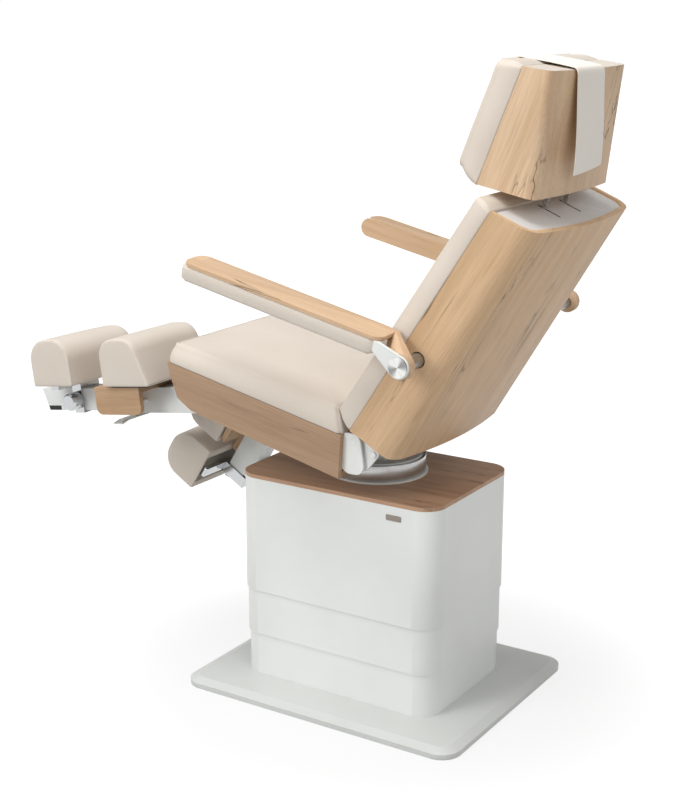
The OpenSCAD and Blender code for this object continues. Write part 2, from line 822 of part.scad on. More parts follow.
// a shell's plan, w in from its faces: a bowed rear wall whose middle is at
// x 0, and round corners
module bowed_plan(wide, deep, bow, r, w) {
    side = wide / 2 - r;
    x = bow - sqrt(pow(bow - w, 2) - pow(side, 2));  // the bow's ends
    intersection() {
        translate([bow, 0]) circle(bow - w, $fn = 360);
        translate([0, -side]) square([x + r, 2 * side]);
    }
    for (j = [-1, 1]) translate([x + r - w, j * side]) circle(r - w);
    translate([x + r - w, w - wide / 2]) square([deep, wide - 2 * w]);
}
module back_body(w) {
    // the rear wall leans against the seam
    lean = atan((back_low_d - back_top_d) / back_l);
    intersection() {
        across(-half_w, half_w) back_outline(w, w > 0 ? cut_over : 0);
        translate([-back_low_d, 0, 0]) rotate([0, lean, 0])
            translate([0, 0, -back_l / 2]) linear_extrude(
                height = 2 * back_l) bowed_plan(seat_w, 2 * back_low_d,
                    back_bow_r, back_corner_r, w);
    }
}
hinge_bolt_back = 142;     // bolt below the back, behind the swivel axis
hinge_bolt_z = 724;        // its height
hinge_bolt_b = to_back(-hinge_bolt_back, hinge_bolt_z);
hinge_toe_back = 114;      // lower toe of the back's hinge plates
hinge_toe_z = 684;
hinge_toe_b = to_back(-hinge_toe_back, hinge_toe_z);
module back_frame() {
    socket_r = arm_shaft_r + frame_t;
    sheet_t = frame_wall;
    eye_r = recline_pin_r + frame_t + thin;
    plate_in = hinge_plate_out - frame_t;
    color(white_c) in_back() difference() {
        union() {
            // sheet behind the cushion
            box(-sheet_t - soft_gap, -soft_gap, -plate_in, plate_in,
                frame_beam_l, back_l - 2 * frame_beam_l);
            for (j = [-1, 1]) {
                y0 = j > 0 ? plate_in : -hinge_plate_out;
                across(y0, y0 + frame_t) hull() {
                    translate(reclin_b) circle(eye_r, $fn = 32);
                    translate(hinge_bolt_b) circle(eye_r * 3 / 4,
                        $fn = 32);
                    translate(hinge_toe_b) circle(eye_r / 2, $fn = 32);
                    translate([-sheet_t - soft_gap - 2 * eye_r,
                        frame_beam_l]) square([sheet_t + 2 * eye_r,
                            2 * frame_beam_l]);
                }
                // socket of the armrest shaft and its web to the sheet
                y1 = j > 0 ? leg_y / 2 : -(half_w - back_wall - soft_gap);
                y2 = j > 0 ? half_w - back_wall - soft_gap : -leg_y / 2;
                bar_y(socket_r, arm_b[0], arm_b[1], y1, y2);
                box(arm_b[0], -soft_gap - sheet_t / 2, y1, y2,
                    arm_b[1] - frame_t / 2, arm_b[1] + frame_t / 2);
                // ear that carries the headrest's swinging block
                y3 = j > 0 ? swing_y0 : -swing_y1;
                box(-swing_depth - swing_eye_r, -soft_gap - sheet_t / 2,
                    y3, y3 + frame_t, swing_s - swing_eye_r,
                    swing_s + swing_eye_r);
            }
        }
        bar_y(arm_shaft_r + fit_play, arm_b[0], arm_b[1], -half_w, half_w);
        bar_y(recline_pin_r + fit_play, reclin_b[0], reclin_b[1],
            -half_w, half_w);
        bar_y(swing_r + fit_play, -swing_depth, swing_s, -half_w, half_w);
    }
}
swing_r = 8;                       // trunnions of the swinging block
swing_eye_r = 14;
swing_s = back_l - swing_down;     // their place along the back
swing_y0 = bar_gap / 2 + 2 * swing_eye_r;
swing_y1 = swing_y0 + frame_t;
shaft_clear = 2;          // room round each shaft in the wooden shell
module back_shell() {
    color(oak_c) in_back() difference() {
        back_body(0);
        back_body(back_wall);
        bar_y(arm_shaft_r + shaft_clear, arm_b[0], arm_b[1],
            -seat_w, seat_w);
    }
}
module back_cushion() {
    color(leather_c) in_back()
        hull() {
            for (h = [soft_gap, soft_gap + edge_r])
                translate([h, 0, back_l / 2]) rotate([0, 90, 0])
                    slab(back_l, seat_w, edge_r, thin, $fn = 16);
            for (j = [-1, 1]) {
                y = j * (half_w - pad_bevel - edge_r);
                translate([back_pad_low_h - edge_r, y,
                    back_pad_low_in + edge_r]) sphere(edge_r, $fn = 16);
                translate([back_pad_top_h - edge_r, y,
                    back_l + back_pad_top_in - edge_r])
                    sphere(edge_r, $fn = 16);
                for (k = [crown_in_share, 1 - crown_in_share])
                    translate([back_pad_low_h + (back_pad_top_h
                        - back_pad_low_h) * k + pad_crown * 3 / 4 - edge_r,
                        j * half_w * crown_wide_share, back_l * k])
                        sphere(edge_r, $fn = 12);
            }
            translate([(back_pad_low_h + back_pad_top_h) / 2 + pad_crown
                - edge_r, 0, back_l / 2]) sphere(edge_r, $fn = 12);
        }
}
plate_forward = 1.8;      // keeps the plate off the leaning rear wall
module slot_plate() {
    // follows the shell's slanting top, inside its rim
    lean = atan(back_top_rise / back_top_d);
    rear = back_top_d / cos(lean);
    color(grey_c) in_back() translate([0, 0, back_l - slot_plate_drop])
        rotate([0, lean, 0]) difference() {
            translate([0, 0, -slot_plate_t]) linear_extrude(
                height = slot_plate_t) intersection() {
                translate([-rear, -half_w])
                    square([rear - soft_gap, seat_w]);
                translate([plate_forward - rear, 0]) bowed_plan(seat_w, 2 * rear,
                    back_bow_r, back_corner_r, back_wall + soft_gap);
            }
            for (j = [-1, 1]) translate([-slot_depth, j * bar_gap / 2,
                -slot_plate_t - cut_over])
                slab(slot_len, slot_w, slot_w / 2 - soft_gap,
                    slot_plate_t + 2 * cut_over);
        }
}
module back_bolts() {
    color(steel_c) in_back() for (j = [-1, 1]) {
        y0 = j > 0 ? hinge_plate_out : -hinge_plate_out - bolt_h;
        bar_y(bolt_r, hinge_bolt_b[0], hinge_bolt_b[1], y0, y0 + bolt_h,
            $fn = 6);
    }
}

/* ---- headrest ---- */
head_s = back_l + head_over;
head_x = back_x + head_ahead * cos(back_lean) - head_s * sin(back_lean);
head_z = back_z + head_ahead * sin(back_lean) + head_s * cos(back_lean);
module in_head() {
    translate([head_x, 0, head_z]) rotate([0, -head_lean, 0]) children();
}
// the flat bars and their block lean less than the back
module in_bars() {
    in_back() translate([-swing_depth, 0, swing_s])
        rotate([0, back_lean - bar_lean, 0]) children();
}
bar_play = 0.3;           // clearance round a flat bar
block_h = 36;             // the swinging block, along the bars
block_d = 28;             // and across them
tie_low = 188;            // tie plate between the bars, above their pin
tie_h = 30;
module head_bars() {
    color(chrome_c) in_bars() {
        for (j = [-1, 1]) box(-bar_w / 2, bar_w / 2,
            j * bar_gap / 2 - bar_t / 2, j * bar_gap / 2 + bar_t / 2,
            -bar_down, bar_up);
        box(bar_w / 2 - thin, bar_w / 2 + bar_t, -bar_gap / 2 - tie_h,
            bar_gap / 2 + tie_h, tie_low, tie_low + tie_h);
    }
}
module head_block() {
    g = bar_play;
    color(steel_c) in_bars() difference() {
        union() {
            box(-block_d / 2, block_d / 2, -swing_y0 + swing_eye_r,
                swing_y0 - swing_eye_r, -block_h / 2, block_h / 2);
            bar_y(swing_r, 0, 0, -swing_y1 - frame_wall,
                swing_y1 + frame_wall);
        }
        for (j = [-1, 1]) box(-bar_w / 2 - g, bar_w / 2 + g,
            j * bar_gap / 2 - bar_t / 2 - g,
            j * bar_gap / 2 + bar_t / 2 + g, -block_h, block_h);
    }
}
head_rear_lean = atan((head_low_d - head_top_d) / (head_l - head_low_rise
    + head_top_rise));
module head_outline(w) {
    o = w > 0 ? cut_over : 0;
    polygon([[o, w], [o, head_l - w],
        [-head_top_d + w, head_l + head_top_rise - w],
        [-head_low_d + w, head_low_rise + w]]);
}
module head_body(w) {
    intersection() {
        across(w - head_w / 2, head_w / 2 - w) head_outline(w);
        translate([-head_low_d, 0, head_low_rise])
            rotate([0, head_rear_lean, 0]) translate([0, 0, -head_l])
                linear_extrude(height = 3 * head_l) bowed_plan(head_w,
                    2 * head_low_d, head_bow_r, head_corner_r, w);
    }
}
module head_shell() {
    color(oak_c) difference() {
        in_head() difference() {
            head_body(0);
            head_body(head_wall);
        }
        // slots that the bars pass through, below
        in_bars() for (j = [-1, 1]) box(-bar_w / 2 - bar_play,
            bar_w / 2 + bar_play,
            j * bar_gap / 2 - bar_t / 2 - bar_play,
            j * bar_gap / 2 + bar_t / 2 + bar_play,
            block_h, tie_low + tie_h);
    }
}
head_round = 12;          // radius of the headrest cushion's rounding
module head_cushion() {
    color(leather_c) in_head()
        hull() {
            for (h = [soft_gap, soft_gap + edge_r])
                translate([h, 0, head_l / 2]) rotate([0, 90, 0])
                    slab(head_l, head_w, edge_r, thin, $fn = 16);
            for (j = [-1, 1]) {
                y = j * (head_w / 2 - pad_bevel - edge_r);
                translate([head_pad_h - head_round, y,
                    head_pad_in + head_round])
                    sphere(head_round, $fn = 24);
                translate([head_pad_h - head_round, y,
                    head_l - head_pad_top_in - head_round])
                    sphere(head_round, $fn = 24);
                translate([head_pad_h * 3 / 4 - edge_r, y,
                    head_l - bar_t - edge_r]) sphere(edge_r, $fn = 16);
            }
            translate([head_pad_h + pad_crown / 2 - edge_r, 0, head_l / 2])
                sphere(edge_r, $fn = 12);
        }
}
module head_strap() {
    // over the top of the headrest, then hanging straight down behind it
    y0 = strap_off - strap_w / 2;
    front = head_pad_h * 3 / 4;
    rear = -head_top_d - 2 * soft_gap;
    top = head_l + 2 * soft_gap;
    edge = top + head_top_rise;
    c = cos(head_lean);
    n = sin(head_lean);
    color(leather_c) in_head() across(y0, y0 + strap_w) polygon([
        [front, top], [0, top], [rear, edge],
        [rear - strap_drop * n, edge - strap_drop * c],
        [rear - strap_drop * n - strap_t * c,
            edge - strap_drop * c + strap_t * n],
        [rear - strap_t * c, edge + strap_t * n],
        [rear - strap_t / 2, edge + strap_t],
        [0, top + strap_t], [front, top + strap_t]]);
}

/* ---- armrests, side 1 is the sitter's left ---- */
module sided(side) { if (side > 0) children(); else mirror([0, 1, 0]) children(); }
module in_arm(side) {
    out = side > 0 ? 0 : arm_right_out;
    sided(side) translate([-arm_back, out, arm_z])
        rotate([0, -arm_rise, 0]) children();
}
arm_y0 = half_w + arm_side_gap;
arm_y1 = arm_y0 + arm_w;
bracket_y0 = arm_y1 - arm_bracket_t;
wood_y1 = arm_y0 + arm_board_t;
arm_pad_rear = arm_rear + arm_eye_r / 2;
eye_y1 = bracket_y0 - soft_gap;
shaft_in = 4;             // shaft's inner end from the chair's middle
module arm_shaft(side) {
    color(grey_c) in_arm(side)
        bar_y(arm_shaft_r, 0, 0, shaft_in, arm_y1 - disc_t / 2 - slide_gap);
}
arm_round = (arm_in_h - arm_top_t / 4) / 2;  // rounded front of its board
module arm_wood(side) {
    corner = arm_w / 3;
    color(oak_c) in_arm(side) difference() {
        union() {
            // top board, a little lower at its outer edge
            intersection() {
                translate([arm_rear, 0, 0]) rotate([90, 0, 90])
                    linear_extrude(height = arm_front - arm_rear)
                        polygon([[arm_y0, arm_in_h - arm_top_t],
                            [arm_y0, arm_in_h],
                            [arm_y1, arm_out_h],
                            [arm_y1, arm_out_h - arm_top_t]]);
                translate([(arm_front - arm_round / 2 + arm_rear) / 2,
                    (arm_y0 + arm_y1) / 2, 0])
                    slab(arm_front - arm_round / 2 - arm_rear, arm_w,
                        corner, 2 * arm_in_h);
            }
            // neck from the eye, turning inward up to the inner board
            hull() {
                across(eye_y1 - arm_eye_t, eye_y1)
                    circle(arm_eye_r, $fn = 48);
                translate([arm_rear, arm_y0, arm_in_h - 2 * arm_top_t])
                    cube([edge_r, arm_board_t, 2 * arm_top_t - thin]);
            }
            // inner board
            across(arm_y0, wood_y1) {
                translate([arm_rear, 0]) square([arm_front - arm_rear
                    - arm_round, 2 * arm_round]);
                translate([arm_front - arm_round, arm_round])
                    circle(arm_round);
            }
        }
        bar_y(arm_shaft_r + soft_gap, 0, 0, 0, 2 * arm_y1);
    }
}
module arm_pad(side) {
    low = edge_r;
    front = arm_front - edge_r / 2;
    rear = arm_pad_rear;
    top_in = arm_in_h - arm_top_t - (arm_in_h - arm_out_h)
        * arm_board_t / arm_w - soft_gap;
    top_out = arm_out_h - arm_top_t - soft_gap;
    color(leather_c) in_arm(side) hull() {
        for (x = [rear + edge_r, front - edge_r * 2]) {
            translate([x, wood_y1 + soft_gap + edge_r, low])
                sphere(edge_r, $fn = 16);
            translate([x, arm_y1 - edge_r, low]) sphere(edge_r, $fn = 16);
            translate([x, wood_y1 + soft_gap, top_in - thin])
                cube([thin, thin, thin]);
            translate([x, arm_y1 - thin, top_out - thin])
                cube([thin, thin, thin]);
        }
        translate([front - edge_r * 2, wood_y1 + arm_w / 3, low * 2])
            sphere(edge_r * 2, $fn = 16);
        translate([front - edge_r * 3, arm_y1 - 2 * edge_r, low * 2])
            sphere(edge_r * 2, $fn = 16);
        translate([front - edge_r * 3, wood_y1 + arm_w / 3,
            top_out - thin]) cylinder(r = edge_r * 2, h = thin, $fn = 16);
        translate([front - edge_r * 4, arm_y1 - 2 * edge_r,
            top_out - thin]) cylinder(r = edge_r * 2, h = thin, $fn = 16);
    }
}
module arm_bracket(side) {
    color(white_c) in_arm(side) difference() {
        union() {
        across(bracket_y0, arm_y1) hull() {
            circle(disc_r + 3 * thin, $fn = 48);
            translate([arm_rear, arm_eye_r / 2])
                square([arm_pad_rear - slide_gap - arm_rear, arm_out_h
                    - arm_top_t - soft_gap - arm_eye_r / 2]);
        }
        // closing block behind the pad
        translate([arm_rear + 2 * thin, arm_y0 + arm_w / 2, arm_eye_r / 2])
            cube([arm_pad_rear - slide_gap - arm_rear - 2 * thin,
                arm_w / 2 - thin, arm_out_h - arm_top_t - soft_gap
                - arm_eye_r / 2]);
        }
        bar_y(arm_shaft_r + fit_play, 0, 0, 0, 2 * arm_y1);
        // seat of the chrome disc
        bar_y(disc_r + soft_gap / 3, 0, 0, arm_y1 - disc_t / 2, 2 * arm_y1);
    }
}
disc_screw_r = 3;
module arm_disc(side) {
    color(chrome_c) in_arm(side) {
        bar_y(disc_r, 0, 0, arm_y1 - disc_t / 2, arm_y1 + disc_t / 2);
        for (k = [-1, 1]) bar_y(disc_screw_r, k * disc_r / 5, -k * disc_r / 2,
            arm_y1 + disc_t / 2, arm_y1 + disc_t / 2 + thin);
    }
}

/* ---- leg rests ---- */
module in_leg(side) {
    drop = side > 0 ? leg_left_lean : leg_right_lean;
    sided(side) translate([knee_x, 0, knee_z])
        rotate([0, drop, 0]) children();
}
car_y0 = leg_y - carrier_w / 2;
car_y1 = leg_y + carrier_w / 2;
car_low = carrier_up - carrier_h;
beam_y0 = car_y0 + carrier_wall + beam_gap;
beam_y1 = car_y1 - carrier_wall - beam_gap;
beam_up = carrier_up - carrier_wall - beam_gap;
beam_low = car_low + carrier_wall + beam_gap;
beam_mid = (beam_up + beam_low) / 2;
function leg_out(side) = side > 0 ? leg_left_out : leg_right_out;
function foot_at(side) = side > 0 ? foot_left_rear : foot_right_rear;
lever_y = leg_y;                     // pin of the release lever
lever_z = car_low - 2 * lever_pin_r;
module leg_carrier(side) {
    color(white_c) in_leg(side) difference() {
        union() {
            difference() {
                box(carrier_eye_r * 2, carrier_front, car_y0, car_y1,
                    car_low, carrier_up);
                box(carrier_eye_r, carrier_front + cut_over,
                    car_y0 + carrier_wall, car_y1 - carrier_wall,
                    car_low + carrier_wall, carrier_up - carrier_wall);
            }
            for (y = [car_y0, car_y1 - carrier_wall])
                across(y, y + carrier_wall) hull() {
                    circle(carrier_eye_r, $fn = 32);
                    translate([carrier_eye_r * 2, car_low])
                        square([carrier_eye_r, carrier_h]);
                }
            // guide rib of the calf pad's cover
            box(runner_x + runner_l / 3, runner_x + runner_l + calf_travel,
                car_y1 - thin, car_y1 + rib_out, rib_mid - rib_h / 2,
                rib_mid + rib_h / 2);
            // ears of the release lever
            for (x = [lever_at - lever_l / 2 - slide_gap - lever_t,
                lever_at + lever_l / 2 + slide_gap])
                box(x, x + lever_t, lever_y - 3 * lever_pin_r,
                    lever_y + 3 * lever_pin_r,
                    lever_z - 2 * lever_pin_r, car_low + thin);
        }
        bar_y(knee_pin_r + fit_play, 0, 0, 0, half_w);
        translate([0, lever_y, lever_z]) rotate([0, 90, 0])
            cylinder(r = lever_pin_r, h = carrier_front);
    }
}
module in_calf(side) {
    in_leg(side) translate([side > 0 ? calf_travel : 0, 0, 0]) children();
}
rib_mid = (carrier_up + car_low) / 2;
runner_x = cover_front - runner_in - runner_l;
module leg_wood(side) {
    top = carrier_up + cover_top_t;
    low = carrier_up + slide_gap;
    board_end = calf_rear + calf_l - calf_board_in;
    run_y = car_y1 + slide_gap;
    color(oak_c) in_calf(side) {
        box(cover_rear, cover_front, car_y0, cover_out, low, top);
        box(cover_rear, board_end, cover_in, leg_y, low, top);
        // side panel
        across(cover_out - cover_side_t, cover_out)
            translate([(cover_rear + cover_front) / 2, 0])
                intersection() {
                    translate([0, top - cover_side_d])
                        rounded(cover_front - cover_rear,
                            2 * cover_side_d, cover_corner_r);
                    translate([cover_rear - cover_front,
                        top - cover_side_d])
                        square([2 * (cover_front - cover_rear),
                            cover_side_d]);
                    translate([0, top - cover_side_d / 2])
                        rounded(cover_front - cover_rear,
                            cover_side_d, cover_corner_r);
                }
        // runner with its groove round the carrier's rib
        difference() {
            box(runner_x, runner_x + runner_l, run_y, run_y + runner_t,
                rib_mid - 2 * rib_h, top);
            box(runner_x - cut_over, runner_x + runner_l + cut_over,
                car_y1, run_y + rib_out,
                rib_mid - rib_h / 2 - slide_gap,
                rib_mid + rib_h / 2 + slide_gap);
        }
    }
}
calf_z = carrier_up + cover_top_t + calf_board_h;
module calf_profile(w) {
    hull() {
        for (x = [w, calf_l - w]) translate([calf_rear + x, w])
            circle(thin, $fn = 8);
        translate([calf_rear + calf_l - calf_r, calf_h - calf_r])
            circle(calf_r - w, $fn = 40);
        translate([calf_rear + calf_l - calf_r - edge_r * 4,
            calf_h - calf_r]) circle(calf_r - w, $fn = 40);
    }
}
module calf_pad(side) {
    in_calf(side) {
        color(leather_c) translate([0, 0, calf_z + soft_gap]) hull() {
            across(pad_in, pad_out) calf_profile(pad_end_in);
            across(pad_in + pad_end_in, pad_out - pad_end_in)
                calf_profile(0);
        }
        color(black_c) box(calf_rear + calf_board_in,
            calf_rear + calf_l - calf_board_in, pad_in + calf_board_in,
            pad_out - calf_board_in, carrier_up + cover_top_t, calf_z);
    }
}
module leg_beam(side) {
    color(white_c) in_leg(side) translate([leg_out(side), 0, 0])
        difference() {
            across(beam_y0, beam_y1) polygon([[beam_rear, beam_low],
                [beam_front - beam_slant, beam_low],
                [beam_front, beam_up], [beam_rear, beam_up]]);
            across(beam_y0 + beam_wall, beam_y1 - beam_wall) polygon([
                [beam_rear - cut_over, beam_low + beam_wall],
                [beam_front - beam_slant - beam_wall,
                    beam_low + beam_wall],
                [beam_front - beam_wall, beam_up - beam_wall],
                [beam_rear - cut_over, beam_up - beam_wall]]);
            box(beam_front - beam_slant - cap_l, beam_front + cut_over,
                beam_y0 - cut_over, beam_y1 + cut_over,
                beam_low - cut_over, beam_low + cap_h);
        }
}
module beam_cap(side) {
    cap_end = beam_front - beam_slant;
    color(black_c) in_leg(side) translate([leg_out(side), 0, 0])
        across(beam_y0, beam_y1) polygon([
            [cap_end - cap_l, beam_low], [cap_end, beam_low],
            [cap_end + beam_slant * cap_h / (beam_up - beam_low),
                beam_low + cap_h],
            [cap_end - cap_l, beam_low + cap_h]]);
}
foot_z = carrier_up + cover_top_t + foot_up;   // underside of the foot pad
rail_z = foot_z + recess_d - soft_gap - rail_h;
module foot_carriage(side) {
    mid = foot_at(side) + clamp_at;
    g = slide_gap;
    color(chrome_c) in_leg(side) difference() {
        union() {
            difference() {
                box(mid - carriage_l / 2, mid + carriage_l / 2,
                    beam_y0 - carriage_wall, beam_y1 + carriage_wall,
                    beam_low - carriage_wall, rail_z);
                box(mid - carriage_l, mid + carriage_l,
                    beam_y0 - g, beam_y1 + g, beam_low - g, beam_up + g);
            }
        }
        bar_y(knob_stem_r + fit_play, mid, beam_mid,
            beam_y1, beam_y1 + 2 * carriage_wall);
    }
}
module foot_rail(side) {
    mid = foot_at(side) + clamp_at;
    y0 = (pad_in + pad_out - rail_w) / 2;
    color(chrome_c) in_leg(side)
        box(mid - rail_l / 2, mid + rail_l / 2, y0, y0 + rail_w,
            rail_z, rail_z + rail_h);
}
module foot_profile(w, h) {
    hull() {
        for (x = [w + thin, foot_l - w - thin]) translate([x, w + thin])
            circle(thin, $fn = 8);
        for (x = [foot_r, foot_l - foot_r])
            translate([x, h - foot_r]) circle(foot_r - w, $fn = 40);
    }
}
module foot_pad(side) {
    mid = foot_l / 2;
    y0 = (pad_in + pad_out - rail_w) / 2 - edge_r;
    color(leather_c) in_leg(side) translate([foot_at(side), 0, foot_z])
        difference() {
            hull() {
                across(pad_in, pad_in + thin)
                    foot_profile(pad_end_in, foot_h - foot_fall);
                across(pad_in + pad_end_in, pad_in + pad_end_in + thin)
                    foot_profile(0, foot_h - foot_fall);
                across(pad_out - pad_end_in - thin, pad_out - pad_end_in)
                    foot_profile(0, foot_h);
                across(pad_out - thin, pad_out)
                    foot_profile(pad_end_in, foot_h);
            }
            box(mid - recess_l / 2, mid + recess_l / 2, y0,
                y0 + rail_w + 2 * edge_r, -cut_over, recess_d);
        }
}
module clamp_knob(side) {
    mid = foot_at(side) + clamp_at;
    y0 = beam_y1 + carriage_wall;
    rib = knob_l / 8;
    color(chrome_c) in_leg(side) {
        bar_y(knob_stem_r, mid, beam_mid, beam_y1 + slide_gap, y0 + rib);
        translate([mid, y0 + slide_gap, beam_mid]) rotate([-90, 0, 0]) {
            cylinder(r = knob_r * 3 / 5, h = rib);
            translate([0, 0, rib]) cylinder(r = knob_r,
                h = knob_l - 2 * rib);
            translate([0, 0, knob_l - rib])
                cylinder(r1 = knob_r, r2 = knob_r - rib, h = rib);
        }
    }
}
module release_lever(side) {
    // bent sheet on a pin below the carrier, reaching outward
    x0 = lever_at - lever_l / 2;
    x1 = lever_at + lever_l / 2;
    z0 = lever_z - lever_pin_r - lever_t;
    bend = lever_reach / 4;
    color(steel_c) in_leg(side) {
        translate([x0 - slide_gap - lever_t, lever_y, lever_z])
            rotate([0, 90, 0]) cylinder(r = lever_pin_r - fit_play,
                h = lever_l + 2 * slide_gap + 2 * lever_t);
        translate([x0, 0, 0]) rotate([90, 0, 90])
            linear_extrude(height = lever_l) polygon([
                [lever_y - lever_pin_r, lever_z + lever_pin_r / 2],
                [lever_y + lever_pin_r, lever_z + lever_pin_r / 2],
                [lever_y + lever_pin_r, z0 + lever_t],
                [lever_y + lever_reach - bend, z0 + lever_t],
                [lever_y + lever_reach, z0 - lever_t],
                [lever_y + lever_reach, z0 - 2 * lever_t],
                [lever_y + lever_reach - bend - lever_t, z0],
                [lever_y - lever_pin_r, z0]]);
    }
}

base_plate();
lower_cover();
mast_outer();
mains_inlet();
middle_cover();
mast_middle();
upper_cover();
top_board();
bare_plate();
mast_inner();
swivel_flange();
swivel_drum();
turret_yoke();
seat_frame();
seat_shell();
seat_cushion();
seat_brackets();
knee_axle();
hinge_pins();
back_frame();
back_shell();
back_cushion();
slot_plate();
back_bolts();
head_bars();
head_block();
head_shell();
head_cushion();
head_strap();
arm_shaft(1);  // arm_shaft_left
arm_wood(1);  // arm_wood_left
arm_pad(1);  // arm_pad_left
arm_bracket(1);  // arm_bracket_left
arm_disc(1);  // arm_disc_left
arm_shaft(-1);  // arm_shaft_right
arm_wood(-1);  // arm_wood_right
arm_pad(-1);  // arm_pad_right
arm_bracket(-1);  // arm_bracket_right
arm_disc(-1);  // arm_disc_right
leg_carrier(1);  // leg_carrier_left
leg_wood(1);  // leg_wood_left
calf_pad(1);  // calf_pad_left
leg_beam(1);  // leg_beam_left
beam_cap(1);  // beam_cap_left
foot_carriage(1);  // foot_carriage_left
foot_rail(1);  // foot_rail_left
foot_pad(1);  // foot_pad_left
clamp_knob(1);  // clamp_knob_left
release_lever(1);  // release_lever_left
leg_carrier(-1);  // leg_carrier_right
leg_wood(-1);  // leg_wood_right
calf_pad(-1);  // calf_pad_right
leg_beam(-1);  // leg_beam_right
beam_cap(-1);  // beam_cap_right
foot_carriage(-1);  // foot_carriage_right
foot_rail(-1);  // foot_rail_right
foot_pad(-1);  // foot_pad_right
clamp_knob(-1);  // clamp_knob_right
release_lever(-1);  // release_lever_right
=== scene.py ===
"""Podiatry treatment chair: upholstery, finishes, camera and light round its fixed frame."""

import math

import bmesh
import bpy
from mathutils import Matrix, Vector, noise


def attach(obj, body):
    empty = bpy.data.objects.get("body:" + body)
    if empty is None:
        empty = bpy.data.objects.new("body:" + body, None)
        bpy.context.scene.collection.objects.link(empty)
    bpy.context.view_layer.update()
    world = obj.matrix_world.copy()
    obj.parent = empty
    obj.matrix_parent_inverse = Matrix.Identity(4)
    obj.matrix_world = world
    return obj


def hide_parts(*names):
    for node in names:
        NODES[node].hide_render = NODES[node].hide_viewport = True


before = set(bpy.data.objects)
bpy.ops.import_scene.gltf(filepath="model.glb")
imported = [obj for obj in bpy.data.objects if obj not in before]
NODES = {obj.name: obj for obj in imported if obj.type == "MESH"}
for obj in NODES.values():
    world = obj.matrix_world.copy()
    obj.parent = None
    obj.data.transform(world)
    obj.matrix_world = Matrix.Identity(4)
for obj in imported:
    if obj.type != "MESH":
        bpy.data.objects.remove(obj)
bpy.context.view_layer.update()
MM = 0.001
SIDES = (1, -1)  # the sitter's left, then the right
WORDS = {1: "left", -1: "right"}


# ---------------------------------------------------------------- leaning frames
# origins in millimetres, leans in degrees
SEAT_AT, SEAT_LEAN = (-63, 0, 767), 12.2
BACK_AT, BACK_LEAN = (-89, 0, 783), 33.2
HEAD_AT, HEAD_LEAN = (-384.4, 0, 1395.2), 22
ARM_AT, ARM_LEAN = (-277, 0, 985), 12.6
ARM_RIGHT_OUT = 208  # how far the right armrest is spread
ARM_OUTER = 374  # outer side of a disc when its armrest isn't spread
KNEE_AT, LEG_LEAN = (375, 0, 800), {1: -8, -1: -58.5}


def local(origin, lean):
    """A leaning frame: x forward, z up, turned about y by lean degrees."""
    return Matrix.Translation(Vector(origin) * MM) @ Matrix.Rotation(-math.radians(lean), 4, "Y")


SIDED = {1: Matrix.Identity(4), -1: Matrix.Diagonal((1, -1, 1, 1))}
SEAT = local(SEAT_AT, SEAT_LEAN)
BACK = local(BACK_AT, BACK_LEAN)
HEAD = local(HEAD_AT, HEAD_LEAN)
# a cushion that leans on the front of an upright shell: its length runs up
UP = Matrix(((0, 0, 1, 0), (0, -1, 0, 0), (1, 0, 0, 0), (0, 0, 0, 1)))


def arm(side):
    """An armrest's frame, its y outward; the right one stands further out."""
    return SIDED[side] @ local((ARM_AT[0], 0 if side > 0 else ARM_RIGHT_OUT, ARM_AT[2]), ARM_LEAN)


def leg(side):
    """A leg rest's frame, from the knee axle along the beam, its y outward."""
    return SIDED[side] @ local(KNEE_AT, LEG_LEAN[side])


# ---------------------------------------------------------------- shader helpers
def lin(r, g, b):
    """An sRGB colour, 0 to 255, as the shader's linear one."""
    return tuple(
        (c / 255 / 12.92 if c < 11 else ((c / 255 + 0.055) / 1.055) ** 2.4) for c in (r, g, b)
    ) + (1,)


def scaled_colour(colour, share):
    return tuple(int(c * share) for c in colour)


